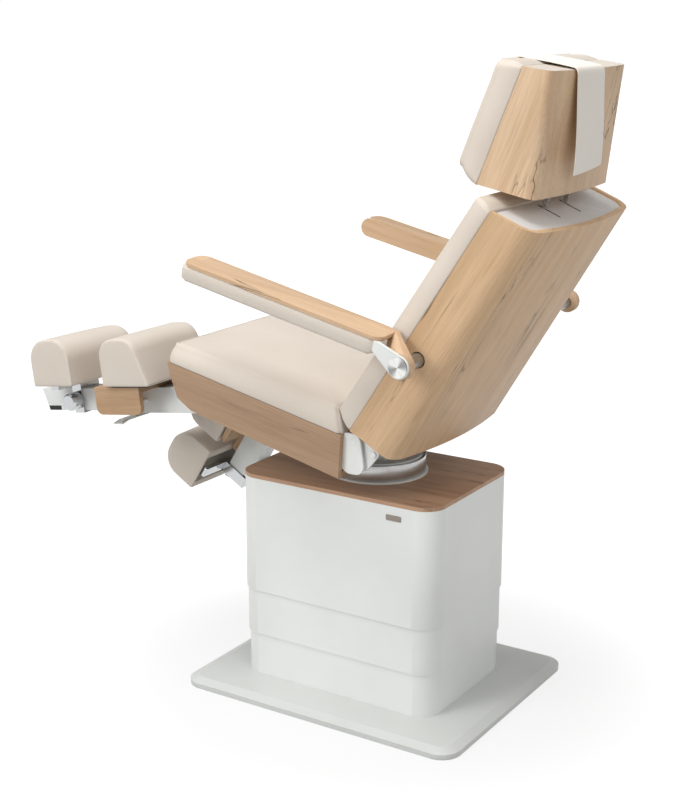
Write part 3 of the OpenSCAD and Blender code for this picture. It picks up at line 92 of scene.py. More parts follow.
class Shader:
    """A node material round one Principled shader."""

    def __init__(self, name, rough=0.5, metallic=0.0, colour=(200, 200, 200), spec=0.5,
                 coat=0.0, coat_rough=0.2, sheen=0.0):
        self.m = bpy.data.materials.new(name)
        self.m.use_nodes = True
        self.t = self.m.node_tree
        self.b = self.t.nodes["Principled BSDF"]
        self.b.inputs["Roughness"].default_value = rough
        self.b.inputs["Metallic"].default_value = metallic
        self.b.inputs["Base Color"].default_value = lin(*colour)
        self.b.inputs["Specular IOR Level"].default_value = spec
        self.b.inputs["Coat Weight"].default_value = coat
        self.b.inputs["Coat Roughness"].default_value = coat_rough
        self.b.inputs["Sheen Weight"].default_value = sheen
        self.m.diffuse_color = lin(*colour)
        self.height = None

    def node(self, kind, **values):
        """A new node; capitalised names are its inputs, the others its settings."""
        n = self.t.nodes.new(kind)
        for k, v in values.items():
            if k[0].isupper():
                n.inputs[k.replace("_", " ")].default_value = v
            else:
                setattr(n, k, v)
        return n

    def link(self, a, b):
        self.t.links.new(a, b)

    def put(self, socket, value):
        """Gives a socket a number or a colour, or links another node's output to it."""
        if isinstance(value, (int, float)):
            socket.default_value = value
        elif isinstance(value, tuple):
            socket.default_value = lin(*value)
        else:
            self.link(value, socket)

    def coords(self, origin=(0, 0, 0), lean=0.0, scale=(1, 1, 1)):
        """Object coordinates in a leaning frame, then scaled."""
        c = self.node("ShaderNodeTexCoord")
        m = self.node("ShaderNodeMapping", vector_type="TEXTURE")
        m.inputs["Location"].default_value = Vector(origin) * MM
        m.inputs["Rotation"].default_value = (0, -math.radians(lean), 0)
        self.link(c.outputs["Object"], m.inputs["Vector"])
        return self.stretched(m.outputs["Vector"], scale)

    def stretched(self, vector, scale):
        s = self.node("ShaderNodeMapping")
        s.inputs["Scale"].default_value = scale
        self.link(vector, s.inputs["Vector"])
        return s.outputs["Vector"]

    def noise(self, vector, scale, detail=3, rough=0.5, distort=0.0):
        n = self.node("ShaderNodeTexNoise", Scale=scale, Detail=detail, Roughness=rough,
                      Distortion=distort)
        self.link(vector, n.inputs["Vector"])
        return n.outputs["Fac"]

    def ramp(self, fac, stops):
        r = self.node("ShaderNodeValToRGB")
        e = r.color_ramp.elements
        while len(e) < len(stops):
            e.new(0.5)
        for i, (at, c) in enumerate(stops):
            e[i].position = at
            e[i].color = lin(*c) if isinstance(c, tuple) else (c, c, c, 1)
        self.link(fac, r.inputs["Fac"])
        return r.outputs["Color"]

    def mix(self, fac, a, b):
        n = self.node("ShaderNodeMix", data_type="RGBA")
        for socket, value in ((0, fac), (6, a), (7, b)):
            self.put(n.inputs[socket], value)
        return n.outputs[2]

    def math(self, op, a, b=0.0):
        n = self.node("ShaderNodeMath", operation=op)
        self.put(n.inputs[0], a)
        self.put(n.inputs[1], b)
        return n.outputs[0]

    def colour(self, socket):
        self.link(socket, self.b.inputs["Base Color"])

    def rough(self, socket, low, high):
        n = self.node("ShaderNodeMapRange", To_Min=low, To_Max=high)
        self.link(socket, n.inputs["Value"])
        self.link(n.outputs[0], self.b.inputs["Roughness"])

    def bump(self, socket, strength, distance):
        """Adds a bump on top of the ones before it."""
        n = self.node("ShaderNodeBump", Strength=strength, Distance=distance)
        self.link(socket, n.inputs["Height"])
        if self.height is not None:
            self.link(self.height, n.inputs["Normal"])
        self.height = n.outputs["Normal"]
        self.link(self.height, self.b.inputs["Normal"])


# ---------------------------------------------------------------- materials
def leather(name, base=(220, 210, 198), dark=(213, 202, 189)):
    """Smooth upholstery leather: faint clouds, fine mottle and grain cells."""
    s = Shader(name, rough=0.55, colour=base, spec=0.32, sheen=0.05)
    v = s.coords()
    broad = s.noise(v, scale=3.2, detail=2, rough=0.5)
    mottle = s.noise(v, scale=60, detail=4, rough=0.6)
    c = s.ramp(broad, [(0.3, dark), (0.62, base)])
    c = s.mix(s.math("MULTIPLY", mottle, 0.1), c, scaled_colour(dark, 0.92))
    cells = s.node("ShaderNodeTexVoronoi", feature="SMOOTH_F1", Scale=620.0, Smoothness=0.6,
                   Randomness=1.0)
    s.link(v, cells.inputs["Vector"])
    s.colour(c)
    s.rough(mottle, low=0.5, high=0.62)
    s.bump(broad, strength=0.05, distance=0.002)
    s.bump(cells.outputs["Distance"], strength=0.2, distance=0.0004)
    return s.m


def oak(name, origin, lean, along, light=(216, 184, 150), mid=(198, 162, 126),
        dark=(148, 112, 80), seed=0.0):
    """Light oak veneer; along is the grain's axis in the leaning frame."""
    s = Shader(name, rough=0.5, colour=light, spec=0.35, coat=0.06, coat_rough=0.35)
    base = s.coords((origin[0] + seed * 211, seed * 97, origin[2]), lean)

    def scaled(cross, long):
        return s.stretched(base, tuple(long if i == along else cross for i in range(3)))

    def share(socket, stops, amount):
        return s.math("MULTIPLY", s.ramp(socket, stops), amount)

    figure = s.noise(scaled(11, 1.1), scale=1.0, detail=3, rough=0.55, distort=1.4)
    bands = s.noise(scaled(42, 1.6), scale=1.0, detail=5, rough=0.6, distort=0.5)
    fibres = s.noise(scaled(420, 9), scale=1.0, detail=4, rough=0.65)
    pores = s.noise(scaled(900, 26), scale=1.0, detail=2, rough=0.5)
    pale = tuple(min(255, c) for c in scaled_colour(light, 1.03))
    c = s.ramp(figure, [(0.28, mid), (0.5, light), (0.72, pale)])
    c = s.mix(share(bands, [(0.42, 0.0), (0.75, 1.0)], 0.55), c, mid)
    c = s.mix(share(fibres, [(0.45, 0.0), (0.8, 1.0)], 0.4), c, dark)

    # a few dark cracks and knots along the grain
    wander = s.noise(scaled(9, 0.9), scale=1.0, detail=4, rough=0.6, distort=0.8)
    line = s.math("ABSOLUTE", s.math("SUBTRACT", wander, 0.47))
    crack = s.ramp(line, [(0.0, 1.0), (0.0045, 0.7), (0.009, 0.0)])
    patch = s.ramp(s.noise(scaled(6, 3.4), scale=1.0, detail=2), [(0.5, 0.0), (0.62, 1.0)])
    crack = s.math("MULTIPLY", crack, patch)
    knots = s.node("ShaderNodeTexVoronoi", Scale=1.0, Randomness=1.0)
    s.link(scaled(7.5, 4.2), knots.inputs["Vector"])
    knot = s.ramp(knots.outputs["Distance"], [(0.0, 1.0), (0.035, 0.75), (0.11, 0.0)])
    rare = s.ramp(s.noise(scaled(3, 2.4), scale=1.0, detail=1, rough=0.4),
                  [(0.56, 0.0), (0.6, 1.0)])
    knot = s.math("MULTIPLY", knot, rare)
    c = s.mix(s.math("MULTIPLY", knot, 0.75), c, scaled_colour(dark, 0.62))
    c = s.mix(s.math("MULTIPLY", crack, 0.8), c, scaled_colour(dark, 0.5))
    s.colour(c)
    s.rough(fibres, low=0.42, high=0.62)
    s.bump(fibres, strength=0.12, distance=0.0006)
    s.bump(pores, strength=0.1, distance=0.0003)
    s.bump(s.math("MULTIPLY", crack, -1.0), strength=0.5, distance=0.0008)
    return s.m


def painted(name, colour=(238, 240, 237), rough=0.36):
    """Powder coat: faint orange peel, faint cloudiness."""
    s = Shader(name, rough=rough, colour=colour, spec=0.5, coat=0.12, coat_rough=0.25)
    v = s.coords()
    cloud = s.noise(v, scale=3.0, detail=3, rough=0.5)
    s.colour(s.ramp(cloud, [(0.3, scaled_colour(colour, 0.965)), (0.65, colour)]))
    s.rough(s.noise(v, scale=18, detail=4, rough=0.6), low=rough - 0.05, high=rough + 0.07)
    s.bump(s.noise(v, scale=420, detail=2, rough=0.5), strength=0.1, distance=0.0004)
    return s.m


def metal(name, colour, rough, brush=(1, 1, 1), depth=0.12):
    """Metal with brush marks, drawn out along the axis where brush is small."""
    s = Shader(name, rough=rough, metallic=1.0, colour=colour)
    v = s.coords(scale=brush)
    lines = s.noise(v, scale=240, detail=3, rough=0.6)
    s.colour(s.mix(s.math("MULTIPLY", lines, 0.35), colour, scaled_colour(colour, 0.84)))
    s.rough(lines, low=rough - 0.06, high=rough + 0.1)
    s.bump(lines, strength=depth, distance=0.0003)
    return s.m


def turned(name, colour, rough, centre):
    """A turned metal face: concentric marks, and painted reflection fans round its own centre."""
    s = Shader(name, rough=rough, metallic=1.0, colour=colour)
    c = s.node("ShaderNodeTexCoord")
    m = s.node("ShaderNodeMapping")
    m.inputs["Location"].default_value = Vector(centre) * -MM
    s.link(c.outputs["Object"], m.inputs["Vector"])
    v = m.outputs["Vector"]
    split = s.node("ShaderNodeSeparateXYZ")
    s.link(v, split.inputs[0])
    # painted reflection: two broad bright fans, crossed by four weaker ones
    angle = s.math("ARCTAN2", split.outputs["Z"], split.outputs["X"])
    glint_fans = s.math("ABSOLUTE", s.math("SINE", s.math("ADD", angle, 0.5)))
    twice = s.math("ADD", s.math("MULTIPLY", angle, 2.0), 1.1)
    glint_lobes = s.math("ABSOLUTE", s.math("SINE", twice))
    glint_lobes = s.math("ADD", s.math("MULTIPLY", glint_lobes, 0.5), 0.5)
    painted_glint = s.math("MULTIPLY", s.math("POWER", glint_fans, 2.0), glint_lobes)
    # painted highlight up to near white on the fans, painted shade between them
    s.colour(s.ramp(painted_glint, [(0.0, scaled_colour(colour, 0.68)), (0.5, colour),
                            (1.0, (246, 246, 246))]))
    ringed = s.node("ShaderNodeTexWave", wave_type="RINGS", rings_direction="Y", Scale=260.0,
                    Distortion=0.0)
    s.link(v, ringed.inputs["Vector"])
    s.rough(s.noise(v, scale=40, detail=3, rough=0.5), low=rough - 0.04, high=rough + 0.08)
    s.bump(ringed.outputs["Fac"], strength=0.12, distance=0.0002)
    return s.m


def plastic(name, colour, rough=0.5, grain=300, depth=0.2):
    """Moulded plastic or laminate: faint clouds and a fine grain."""
    s = Shader(name, rough=rough, colour=colour, spec=0.4)
    v = s.coords()
    cloud = s.math("MULTIPLY", s.noise(v, scale=12, detail=4, rough=0.6), 0.3)
    s.colour(s.mix(cloud, colour, scaled_colour(colour, 0.82)))
    s.rough(s.noise(v, scale=30, detail=3, rough=0.5), low=rough - 0.08, high=rough + 0.08)
    s.bump(s.noise(v, scale=grain, detail=3, rough=0.6), strength=depth, distance=0.0004)
    return s.m


LEATHER = leather("leather_beige")
STRAP = leather("leather_strap", base=(252, 246, 236), dark=(248, 241, 230))
THREAD_DARK = plastic("thread_brown", (96, 80, 66), rough=0.7, grain=900, depth=0.3)
WHITE = painted("white_coat")
WHITE_PLATE = painted("white_plate", (217, 219, 216), rough=0.42)
WHITE_COVER = painted("white_cover", (243, 245, 242), rough=0.42)
ALONG_X, ALONG_Z = 0, 2  # the axes that grain follows
BROWN_TINTS = dict(light=(194, 156, 126), mid=(170, 132, 104), dark=(118, 90, 68))
BACK_TINTS = dict(light=(222, 188, 150), mid=(204, 168, 128), dark=(156, 118, 82))
HEAD_TINTS = dict(light=(226, 196, 162), mid=(208, 174, 138))
SEAT_TINTS = dict(light=(178, 148, 120), mid=(160, 128, 100), dark=(120, 92, 68))
LEG_TINTS = dict(light=(196, 162, 128), mid=(178, 142, 108), dark=(130, 98, 70))
BOARD = oak("board_brown", (0, 0, 590), 0, ALONG_X, seed=2.3, **BROWN_TINTS)
OAK = {
    "back_shell": oak("oak_back", BACK_AT, BACK_LEAN, ALONG_Z, seed=0.1, **BACK_TINTS),
    "head_shell": oak("oak_head", HEAD_AT, HEAD_LEAN, ALONG_Z, seed=0.7, **HEAD_TINTS),
    "seat_shell": oak("oak_seat", SEAT_AT, SEAT_LEAN, ALONG_X, seed=1.3, **SEAT_TINTS),
    "arm_wood_left": oak("oak_arm_left", ARM_AT, ARM_LEAN, ALONG_X, seed=1.9),
    "arm_wood_right": oak("oak_arm_right", ARM_AT, ARM_LEAN, ALONG_X, seed=2.6),
    "leg_wood_left": oak("oak_leg_left", KNEE_AT, LEG_LEAN[1], ALONG_X, seed=3.1, **LEG_TINTS),
    "leg_wood_right": oak("oak_leg_right", KNEE_AT, LEG_LEAN[-1], ALONG_X, seed=3.8,
                          **LEG_TINTS),
}
STEEL = metal("steel_brushed", (216, 217, 216), rough=0.3, brush=(1, 1, 0.02))
CHROME = metal("chrome_polished", (200, 202, 204), rough=0.14, brush=(1, 0.1, 1), depth=0.05)
DISC_Y = {"left": ARM_OUTER, "right": -ARM_OUTER - ARM_RIGHT_OUT}
DISC = {
    word: turned("disc_" + word, (222, 222, 219), rough=0.3, centre=(ARM_AT[0], y, ARM_AT[2]))
    for word, y in DISC_Y.items()
}
GREY = plastic("grey_laminate", (226, 223, 220), grain=500, depth=0.05)
GREY_METAL = metal("shaft_grey", (168, 169, 170), rough=0.34, brush=(0.1, 1, 1))
BLACK = plastic("black_plastic", (30, 30, 31))
BLACK_BOARD = plastic("black_board", (34, 33, 33), rough=0.62, grain=200, depth=0.3)
BRONZE = metal("plate_bronze", (150, 142, 132), rough=0.4, brush=(0.05, 1, 1))


# ---------------------------------------------------------------- mesh helpers
def finish_mesh(name, verts, faces, material, matrix, smooth=40):
    """A smooth-shaded object with sharp edges above the angle smooth."""
    me = bpy.data.meshes.new(name)
    me.from_pydata([matrix @ Vector(v) for v in verts], [], faces)
    bm = bmesh.new()
    bm.from_mesh(me)
    bmesh.ops.remove_doubles(bm, verts=bm.verts, dist=1e-6)
    bmesh.ops.recalc_face_normals(bm, faces=bm.faces)
    bm.to_mesh(me)
    bm.free()
    for p in me.polygons:
        p.use_smooth = True
    me.set_sharp_from_angle(angle=math.radians(smooth))
    me.materials.append(material)
    o = bpy.data.objects.new(name, me)
    bpy.context.scene.collection.objects.link(o)
    return o


def loft(name, rings, material, matrix, smooth=40):
    """A closed form through rings of as many points each; both ends are capped."""
    n = len(rings[0])
    verts = [p for r in rings for p in r]
    faces = []
    for i in range(len(rings) - 1):
        for j in range(n):
            a, b = i * n + j, i * n + (j + 1) % n
            faces.append((a, b, b + n, a + n))
    faces.append(tuple(range(n)))
    faces.append(tuple((len(rings) - 1) * n + j for j in range(n)))
    return finish_mesh(name, verts, faces, material, matrix, smooth)


def rect_ring(x0, x1, y0, y1, r, along=26, across=22, corner=8):
    """A rounded rectangle, counted the same way for every ring.

    Gives (x, y, nx, ny, whether the point is the middle of a corner).
    """
    r = max(min(r, (x1 - x0) / 2 - 1e-5, (y1 - y0) / 2 - 1e-5), 1e-5)
    out = []
    corners = [(x1 - r, y1 - r, 0), (x0 + r, y1 - r, 90), (x0 + r, y0 + r, 180),
               (x1 - r, y0 + r, 270)]
    for i, (cx, cy, a0) in enumerate(corners):
        for k in range(corner + 1):
            a = math.radians(a0 + 90 * k / corner)
            out.append((cx + r * math.cos(a), cy + r * math.sin(a), math.cos(a), math.sin(a),
                        k == corner // 2))
        nx, ny, _ = corners[(i + 1) % 4]
        a = math.radians(a0 + 90)
        count = along if i % 2 == 0 else across
        for k in range(1, count):
            f = k / count
            sx, sy = cx + r * math.cos(a), cy + r * math.sin(a)
            ex, ey = nx + r * math.cos(a), ny + r * math.sin(a)
            out.append((sx + (ex - sx) * f, sy + (ey - sy) * f, math.cos(a), math.sin(a), False))
    return out


def wobble(p, size, amount):
    """A small unevenness of a point, the same each run."""
    return noise.noise(Vector(p) / size) * amount


def cushion(name, matrix, length, width, heights, ends_in, bevel, crown, corner, ridge_corner,
            lip=0.005, bulge=0.004, under=0.0, round_top=0.006):
    """A cushion on a board: x along its length, y across, z up.

    Its side panels lean in, by ends_in and bevel, to a sewn seam, and its top is crowned.
    """
    (h0, h1), (in0, in1) = heights, ends_in
    corner_seam = 0.0022  # depth of the seams down the corners

    def height(x):
        return h0 + (h1 - h0) * min(max(x / length, 0), 1)

    def ring(inset, lift, t, extra=0.0, side_panel=True):
        x0, x1 = -under + (under + in0) * t + inset, length - in1 * t - inset
        y = width / 2 - bevel * t - inset
        r = corner + (ridge_corner - corner) * t
        r = max(r - inset * 0.6, 0.004)
        out = []
        for x, yy, nx, ny, mid in rect_ring(x0, x1, -y, y, r):
            push = extra - corner_seam if mid and side_panel else extra
            z = lift(x)
            push += wobble((x, yy, z), size=0.11, amount=0.0011)
            out.append((x + nx * push, yy + ny * push, z))
        return out

    def on_top(inset, rise):
        return ring(inset, lambda x: height(x) + rise, 1.0, side_panel=False)

    # the underside's rim
    rings = [ring(inset, lambda x, z=z: z, 0)
             for inset, z in ((0.02, 0.0006), (0.0016, 0.0006), (0.0, lip * 0.5), (0.0, lip))]
    side_steps = 8
    for k in range(1, side_steps):
        t = k / side_steps
        rings.append(ring(0.0, lambda x, t=t: lip + (height(x) - round_top - lip) * t, t * 0.93,
                          bulge * math.sin(math.pi * t) ** 0.8))
    # seam ridge, groove, then the crowned top
    rings.append(ring(0.0, lambda x: height(x) - round_top, 0.95, 0.0016))
    rings.append(ring(0.0, lambda x: height(x) - round_top * 0.35, 1.0, 0.0012))
    for inset, rise in ((0.0022, 0.0), (0.0040, -0.0004), (0.0050, -0.0022), (0.0062, -0.0002)):
        rings.append(on_top(inset, rise))
    half = min(length - in0 - in1, width - 2 * bevel) / 2
    top_steps = 16
    for k in range(1, top_steps + 1):
        f = (k / top_steps) ** 1.25
        inset = 0.007 + (half - 0.0075) * f
        rise = crown * (1 - (1 - f) ** 2.4)
        fade = min(1, f * 4)
        rings.append([(x, y, z + wobble((x, y, 3), size=0.16, amount=0.0016) * fade)
                      for x, y, z in on_top(inset, rise)])
    return loft(name, rings, LEATHER, matrix, 55)


def stitches(name, matrix, paths, pitch, length, radius, material):
    """Short threads, one after another along each path of (point, normal) pairs."""
    # along the thread, above the leather, and width of each of a thread's cross-sections
    sections = ((-0.5, -0.3, 0.5), (-0.28, 0.75, 1.0), (0.28, 0.75, 1.0), (0.5, -0.3, 0.5))
    verts, faces = [], []
    for path in paths:
        run, at = 0.0, 0.0
        for (p, n), (q, m) in zip(path, path[1:]):
            p, q = Vector(p), Vector(q)
            d = (q - p).length
            if d < 1e-7:
                continue
            u = (q - p) / d
            while at < run + d:
                c = p + u * (at - run)
                nn = (Vector(n) + Vector(m)).normalized()
                side = u.cross(nn).normalized()
                base = len(verts)
                for along, lift, wide in sections:
                    e = c + u * length * along + nn * radius * lift
                    verts += [e + side * radius * wide, e + nn * radius * 0.5,
                              e - side * radius * wide, e - nn * radius * 0.6]
                for k in range(3):
                    for j in range(4):
                        a, b = base + 4 * k + j, base + 4 * k + (j + 1) % 4
                        faces.append((a, b, b + 4, a + 4))
                faces.append((base, base + 1, base + 2, base + 3))
                faces.append((base + 12, base + 13, base + 14, base + 15))
                at += pitch
            run += d
    return finish_mesh(name, verts, faces, material, matrix, 60)


def convex(points):
    """The corners of the convex outline round some points."""
    pts = sorted(set((round(x, 6), round(y, 6)) for x, y in points))

    def cross(o, a, b):
        return (a[0] - o[0]) * (b[1] - o[1]) - (a[1] - o[1]) * (b[0] - o[0])

    halves = []
    for seq in (pts, pts[::-1]):
        h = []
        for p in seq:
            while len(h) > 1 and cross(h[-2], h[-1], p) <= 0:
                h.pop()
            h.append(p)
        halves += h[:-1]
    return halves


def circle(cx, cy, r, n=48):
    """n points round a circle."""
    return [(cx + r * math.cos(2 * math.pi * k / n), cy + r * math.sin(2 * math.pi * k / n))
            for k in range(n)]


def resample(poly, n):
    """n points round a closed polygon, with their outward normals."""
    p = [Vector(q) for q in poly]
    lens = [(p[(i + 1) % len(p)] - p[i]).length for i in range(len(p))]
    total = sum(lens)
    out, i, run = [], 0, 0.0
    for k in range(n):
        at = total * k / n
        while run + lens[i] < at:
            run += lens[i]
            i += 1
        u = (p[(i + 1) % len(p)] - p[i]).normalized()
        out.append((p[i] + u * (at - run)))
    res = []
    for k in range(n):
        u = (out[(k + 1) % n] - out[k - 1]).normalized()
        res.append((out[k], Vector((u.y, -u.x))))
    return res


# how the end of a pad runs from its middle to its belly:
# distance in from the end, inset of the outline, scale towards the outline's middle
PAD_END = (
    (-0.0008, 0.003, 0.02), (-0.0008, 0.003, 0.5), (-0.0004, 0.003, 0.88), (0.0, 0.0036, 0.975),
    (0.0006, 0.0022, 1.0), (0.0016, 0.0008, 1.0), (0.003, 0.0001, 1.0), (0.0048, 0.0, 1.0),
    (0.0058, 0.0016, 1.0), (0.0068, 0.0, 1.0), (0.0085, -0.0004, 1.0),
)


def roll(name, matrix, profile, y0, y1, belly=0.0008, n=132):
    """A pad of one side profile along y, with flat panel ends, end seams and a faint belly."""
    pts = resample(profile, n)
    mx = sum(p.x for p, _ in pts) / n
    mz = sum(p.y for p, _ in pts) / n
    last_in, last_inset, _ = PAD_END[-1]

    def ring(y, inset, scale=1.0):
        out = []
        for p, nn in pts:
            q = p - nn * inset
            d = wobble((q.x, y, q.y), size=0.12, amount=0.0006)
            out.append((mx + (q.x + nn.x * d - mx) * scale, y,
                        mz + (q.y + nn.y * d - mz) * scale))
        return out

    rings = [ring(y0 + dy, inset, scale) for dy, inset, scale in PAD_END]
    steps = 20
    for k in range(1, steps):
        t = k / steps
        rings.append(ring(y0 + last_in + (y1 - y0 - 2 * last_in) * t,
                          last_inset - belly * math.sin(math.pi * t)))
    rings += [ring(y1 - dy, inset, scale) for dy, inset, scale in reversed(PAD_END)]
    return loft(name, rings, LEATHER, matrix, 50)


def carve(piece, lo, hi, matrix):
    """Takes a box out of a piece."""
    bm = bmesh.new()
    bmesh.ops.create_cube(bm, size=1)
    size = Vector(hi) - Vector(lo)
    middle = (Vector(lo) + Vector(hi)) / 2
    place = matrix @ Matrix.Translation(middle) @ Matrix.Diagonal((*size, 1))
    bmesh.ops.transform(bm, matrix=place, verts=bm.verts)
    bmesh.ops.recalc_face_normals(bm, faces=bm.faces)
    me = bpy.data.meshes.new("cutter")
    bm.to_mesh(me)
    bm.free()
    cutter = bpy.data.objects.new("cutter", me)
    bpy.context.scene.collection.objects.link(cutter)
    mod = piece.modifiers.new("recess", "BOOLEAN")
    mod.operation = "DIFFERENCE"
    mod.object = cutter
    mod.solver = "EXACT"
    dg = bpy.context.evaluated_depsgraph_get()
    new = bpy.data.meshes.new_from_object(piece.evaluated_get(dg))
    piece.modifiers.clear()
    piece.data = new
    bpy.data.objects.remove(cutter)


# ---------------------------------------------------------------- large cushions
seat = cushion("seat_upholstery", SEAT, length=0.552, width=0.566, heights=(0.058, 0.050),
               ends_in=(0.034, 0.003), bevel=0.019, crown=0.0085, corner=0.016,
               ridge_corner=0.012)
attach(seat, "seat")
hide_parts("seat_cushion")

back = cushion("back_upholstery", BACK @ UP, length=0.674, width=0.566, heights=(0.060, 0.053),
               ends_in=(0.010, 0.002), bevel=0.019, crown=0.0085, corner=0.008,
               ridge_corner=0.010)
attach(back, "back")
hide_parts("back_cushion")

head = cushion("head_upholstery", HEAD @ UP, length=0.286, width=0.424, heights=(0.071, 0.070),
               ends_in=(0.012, 0.013), bevel=0.018, crown=0.0035, corner=0.010,
               ridge_corner=0.02, bulge=0.005, round_top=0.010, under=0.004)
HEAD_ROUND = 0.026  # radius of its lower front edge
HEAD_FRONT = 0.0745  # height of the cushion's front there
to_head = (HEAD @ UP).inverted()
for v in head.data.vertices:
    p = to_head @ v.co
    off = Vector((p.x - HEAD_ROUND, p.z - (HEAD_FRONT - HEAD_ROUND)))
    if off.x < 0 < off.y and off.length > HEAD_ROUND:
        off *= HEAD_ROUND / off.length
        v.co = (HEAD @ UP) @ Vector((HEAD_ROUND + off.x, p.y, HEAD_FRONT - HEAD_ROUND + off.y))
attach(head, "headrest")
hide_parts("head_cushion")


# ---------------------------------------------------------------- headrest strap
STRAP_WIDTH = 0.15
STRAP_THICK = 0.0036
STRAP_Y = 0.030  # of its middle line
# over the headrest, from its front to its top rear edge, in the headrest's x and z
OVER_TOP = [
    (0.0772, 0.2440), (0.0770, 0.2580), (0.0735, 0.2700), (0.0630, 0.2780), (0.0440, 0.2825),
    (0.0200, 0.2890), (-0.0100, 0.2965), (-0.0400, 0.3030), (-0.0620, 0.3075),
    (-0.0740, 0.3090), (-0.0815, 0.3050), (-0.0870, 0.2965),
]
# then straight down: distance below that edge, and how far the strap stands off
HANG = [
    (0.012, 0.0), (0.04, 0.0005), (0.075, 0.002), (0.11, 0.0035), (0.145, 0.004),
    (0.175, 0.0038), (0.2, 0.0028), (0.2145, 0.0014),
]


def smooth_line(points, parts=4):
    """A finer line that passes smoothly through some points."""
    pts = [Vector(p) for p in points]
    fine = []
    for i in range(len(pts) - 1):
        p0, p1, p2, p3 = pts[max(i - 1, 0)], pts[i], pts[i + 1], pts[min(i + 2, len(pts) - 1)]
        for k in range(parts):
            t = k / parts
            fine.append(0.5 * ((2 * p1) + (p2 - p0) * t + (2 * p0 - 5 * p1 + 4 * p2 - p3) * t * t
                               + (3 * p1 - p0 - 3 * p2 + p3) * t ** 3))
    fine.append(pts[-1])
    return fine


def strap():
    """A wide leather band over the top of the headrest, hanging straight down behind it."""
    half = STRAP_WIDTH / 2
    n, c = math.sin(math.radians(HEAD_LEAN)), math.cos(math.radians(HEAD_LEAN))
    sx, sz = OVER_TOP[-1]
    fine = smooth_line(OVER_TOP + [(sx - down * n - out * c, sz - down * c + out * n)
                                   for down, out in HANG])
    length = sum((b - a).length for a, b in zip(fine, fine[1:]))
    steps = 24
    across = [-half + 2 * half * k / steps for k in range(steps + 1)]
    section = [(y, 1) for y in across] + [(y, -1) for y in reversed(across)]

    def sway(y, tail):
        """The hanging end dishes a little, and its left side flares."""
        dish = (tail * (0.0045 * (y / half) ** 2 - 0.002)
                - tail ** 3 * 0.004 * max(0, y / half))
        flare = 0.010 * tail ** 2 * max(0.0, y / half)
        return dish, flare

    rings, left, right = [], [], []
    run = 0.0
    for i, p in enumerate(fine):
        u = (fine[min(i + 1, len(fine) - 1)] - fine[max(i - 1, 0)]).normalized()
        nn = Vector((u.y, -u.x)) * -1  # away from the headrest
        if i:
            run += (p - fine[i - 1]).length
        tail = max(0.0, (run / length - 0.55) / 0.45)
        ring = []
        for y, s in section:
            e = min(1.0, (half - abs(y)) / 0.003)
            th = STRAP_THICK / 2 * (0.45 + 0.55 * math.sqrt(max(0.0, 1 - (1 - e) ** 2)))
            dish, flare = sway(y, tail)
            slant = 0.006 * tail ** 3 * (y / half)
            q = p + nn * (s * th + dish) + u * slant
            ring.append((q.x, STRAP_Y + y + flare, q.y))
        rings.append(ring)
        for side, store in ((1, left), (-1, right)):
            y = side * (half - 0.006)
            dish, flare = sway(y, tail)
            q = p + nn * (STRAP_THICK / 2 + dish)
            store.append(((q.x, STRAP_Y + y + flare, q.y), (nn.x, 0, nn.y)))
    o = loft("head_band", rings, STRAP, HEAD, 40)
    t = stitches("head_band_thread", HEAD, [left, right], pitch=0.0052, length=0.0036,
                 radius=0.0006, material=THREAD_DARK)
    return o, t, length


band, band_thread, band_length = strap()
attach(band, "headrest")
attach(band_thread, "headrest")
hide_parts("head_strap")


# ---------------------------------------------------------------- armrest pads
ARM_PAD_Y = (0.3025, 0.374)
ARM_PAD_X = (0.0765, 0.660)
ARM_PAD_TOP = (0.0462, 0.0412)  # heights of its top at the inner and outer side
ARM_NOSE = 0.030  # length of the rounded front end
ARM_TAIL = 0.010  # length of the softened rear end
ARM_EDGE = 0.009  # radius of the two lower edges
ARM_EVEN_TO = 0.35  # the pad is a little uneven only outside this y


def arc(cy, cz, r, start, parts=6):
    """A quarter circle from the angle start, in degrees."""
    out = []
    for k in range(parts + 1):
        a = math.radians(start + 90 * k / parts)
        out.append((cy + r * math.cos(a), cz + r * math.sin(a)))
    return out


def arm_section(x):
    """The pad's outline at x: down the inner side, along the bottom, up the outer side."""
    (y0, y1), (x0, x1), (top_in, top_out), r = ARM_PAD_Y, ARM_PAD_X, ARM_PAD_TOP, ARM_EDGE
    front = max(0.0, (x - (x1 - ARM_NOSE)) / ARM_NOSE)
    rear = max(0.0, (x0 + ARM_TAIL - x) / ARM_TAIL)
    shrink = ARM_NOSE * (1 - math.sqrt(max(0.0, 1 - front ** 2)))
    soft = 0.006 * (1 - math.sqrt(max(0.0, 1 - rear ** 2)))
    low = 0.001 + shrink * 0.62 + soft
    ya, yb = y0 + shrink * 0.25 + soft, y1 - shrink - soft
    path = [(ya, top_in), (ya, (top_in + low) / 2)]
    path += arc(ya + r, low + r, r, 180)
    for k in range(1, 6):
        path.append((ya + r + (yb - ya - 2 * r) * k / 6,
                     low - 0.0012 * math.sin(math.pi * k / 6)))
    path += arc(yb - r, low + r, r, 270)
    for k in range(1, 8):
        h = low + r + (top_out - 0.004 - low - r) * k / 8
        path.append((yb + 0.0012 * math.sin(math.pi * k / 8), h))
    # the seam under the wooden top
    path += [(yb - 0.0004, top_out - 0.0035), (yb - 0.0018, top_out - 0.0028),
             (yb - 0.0012, top_out - 0.0012), (yb - 0.003, top_out)]
    for k in range(1, 6):
        g = k / 6
        path.append((yb - 0.003 + (ya - yb + 0.003) * g, top_out + (top_in - top_out) * g))
    return path


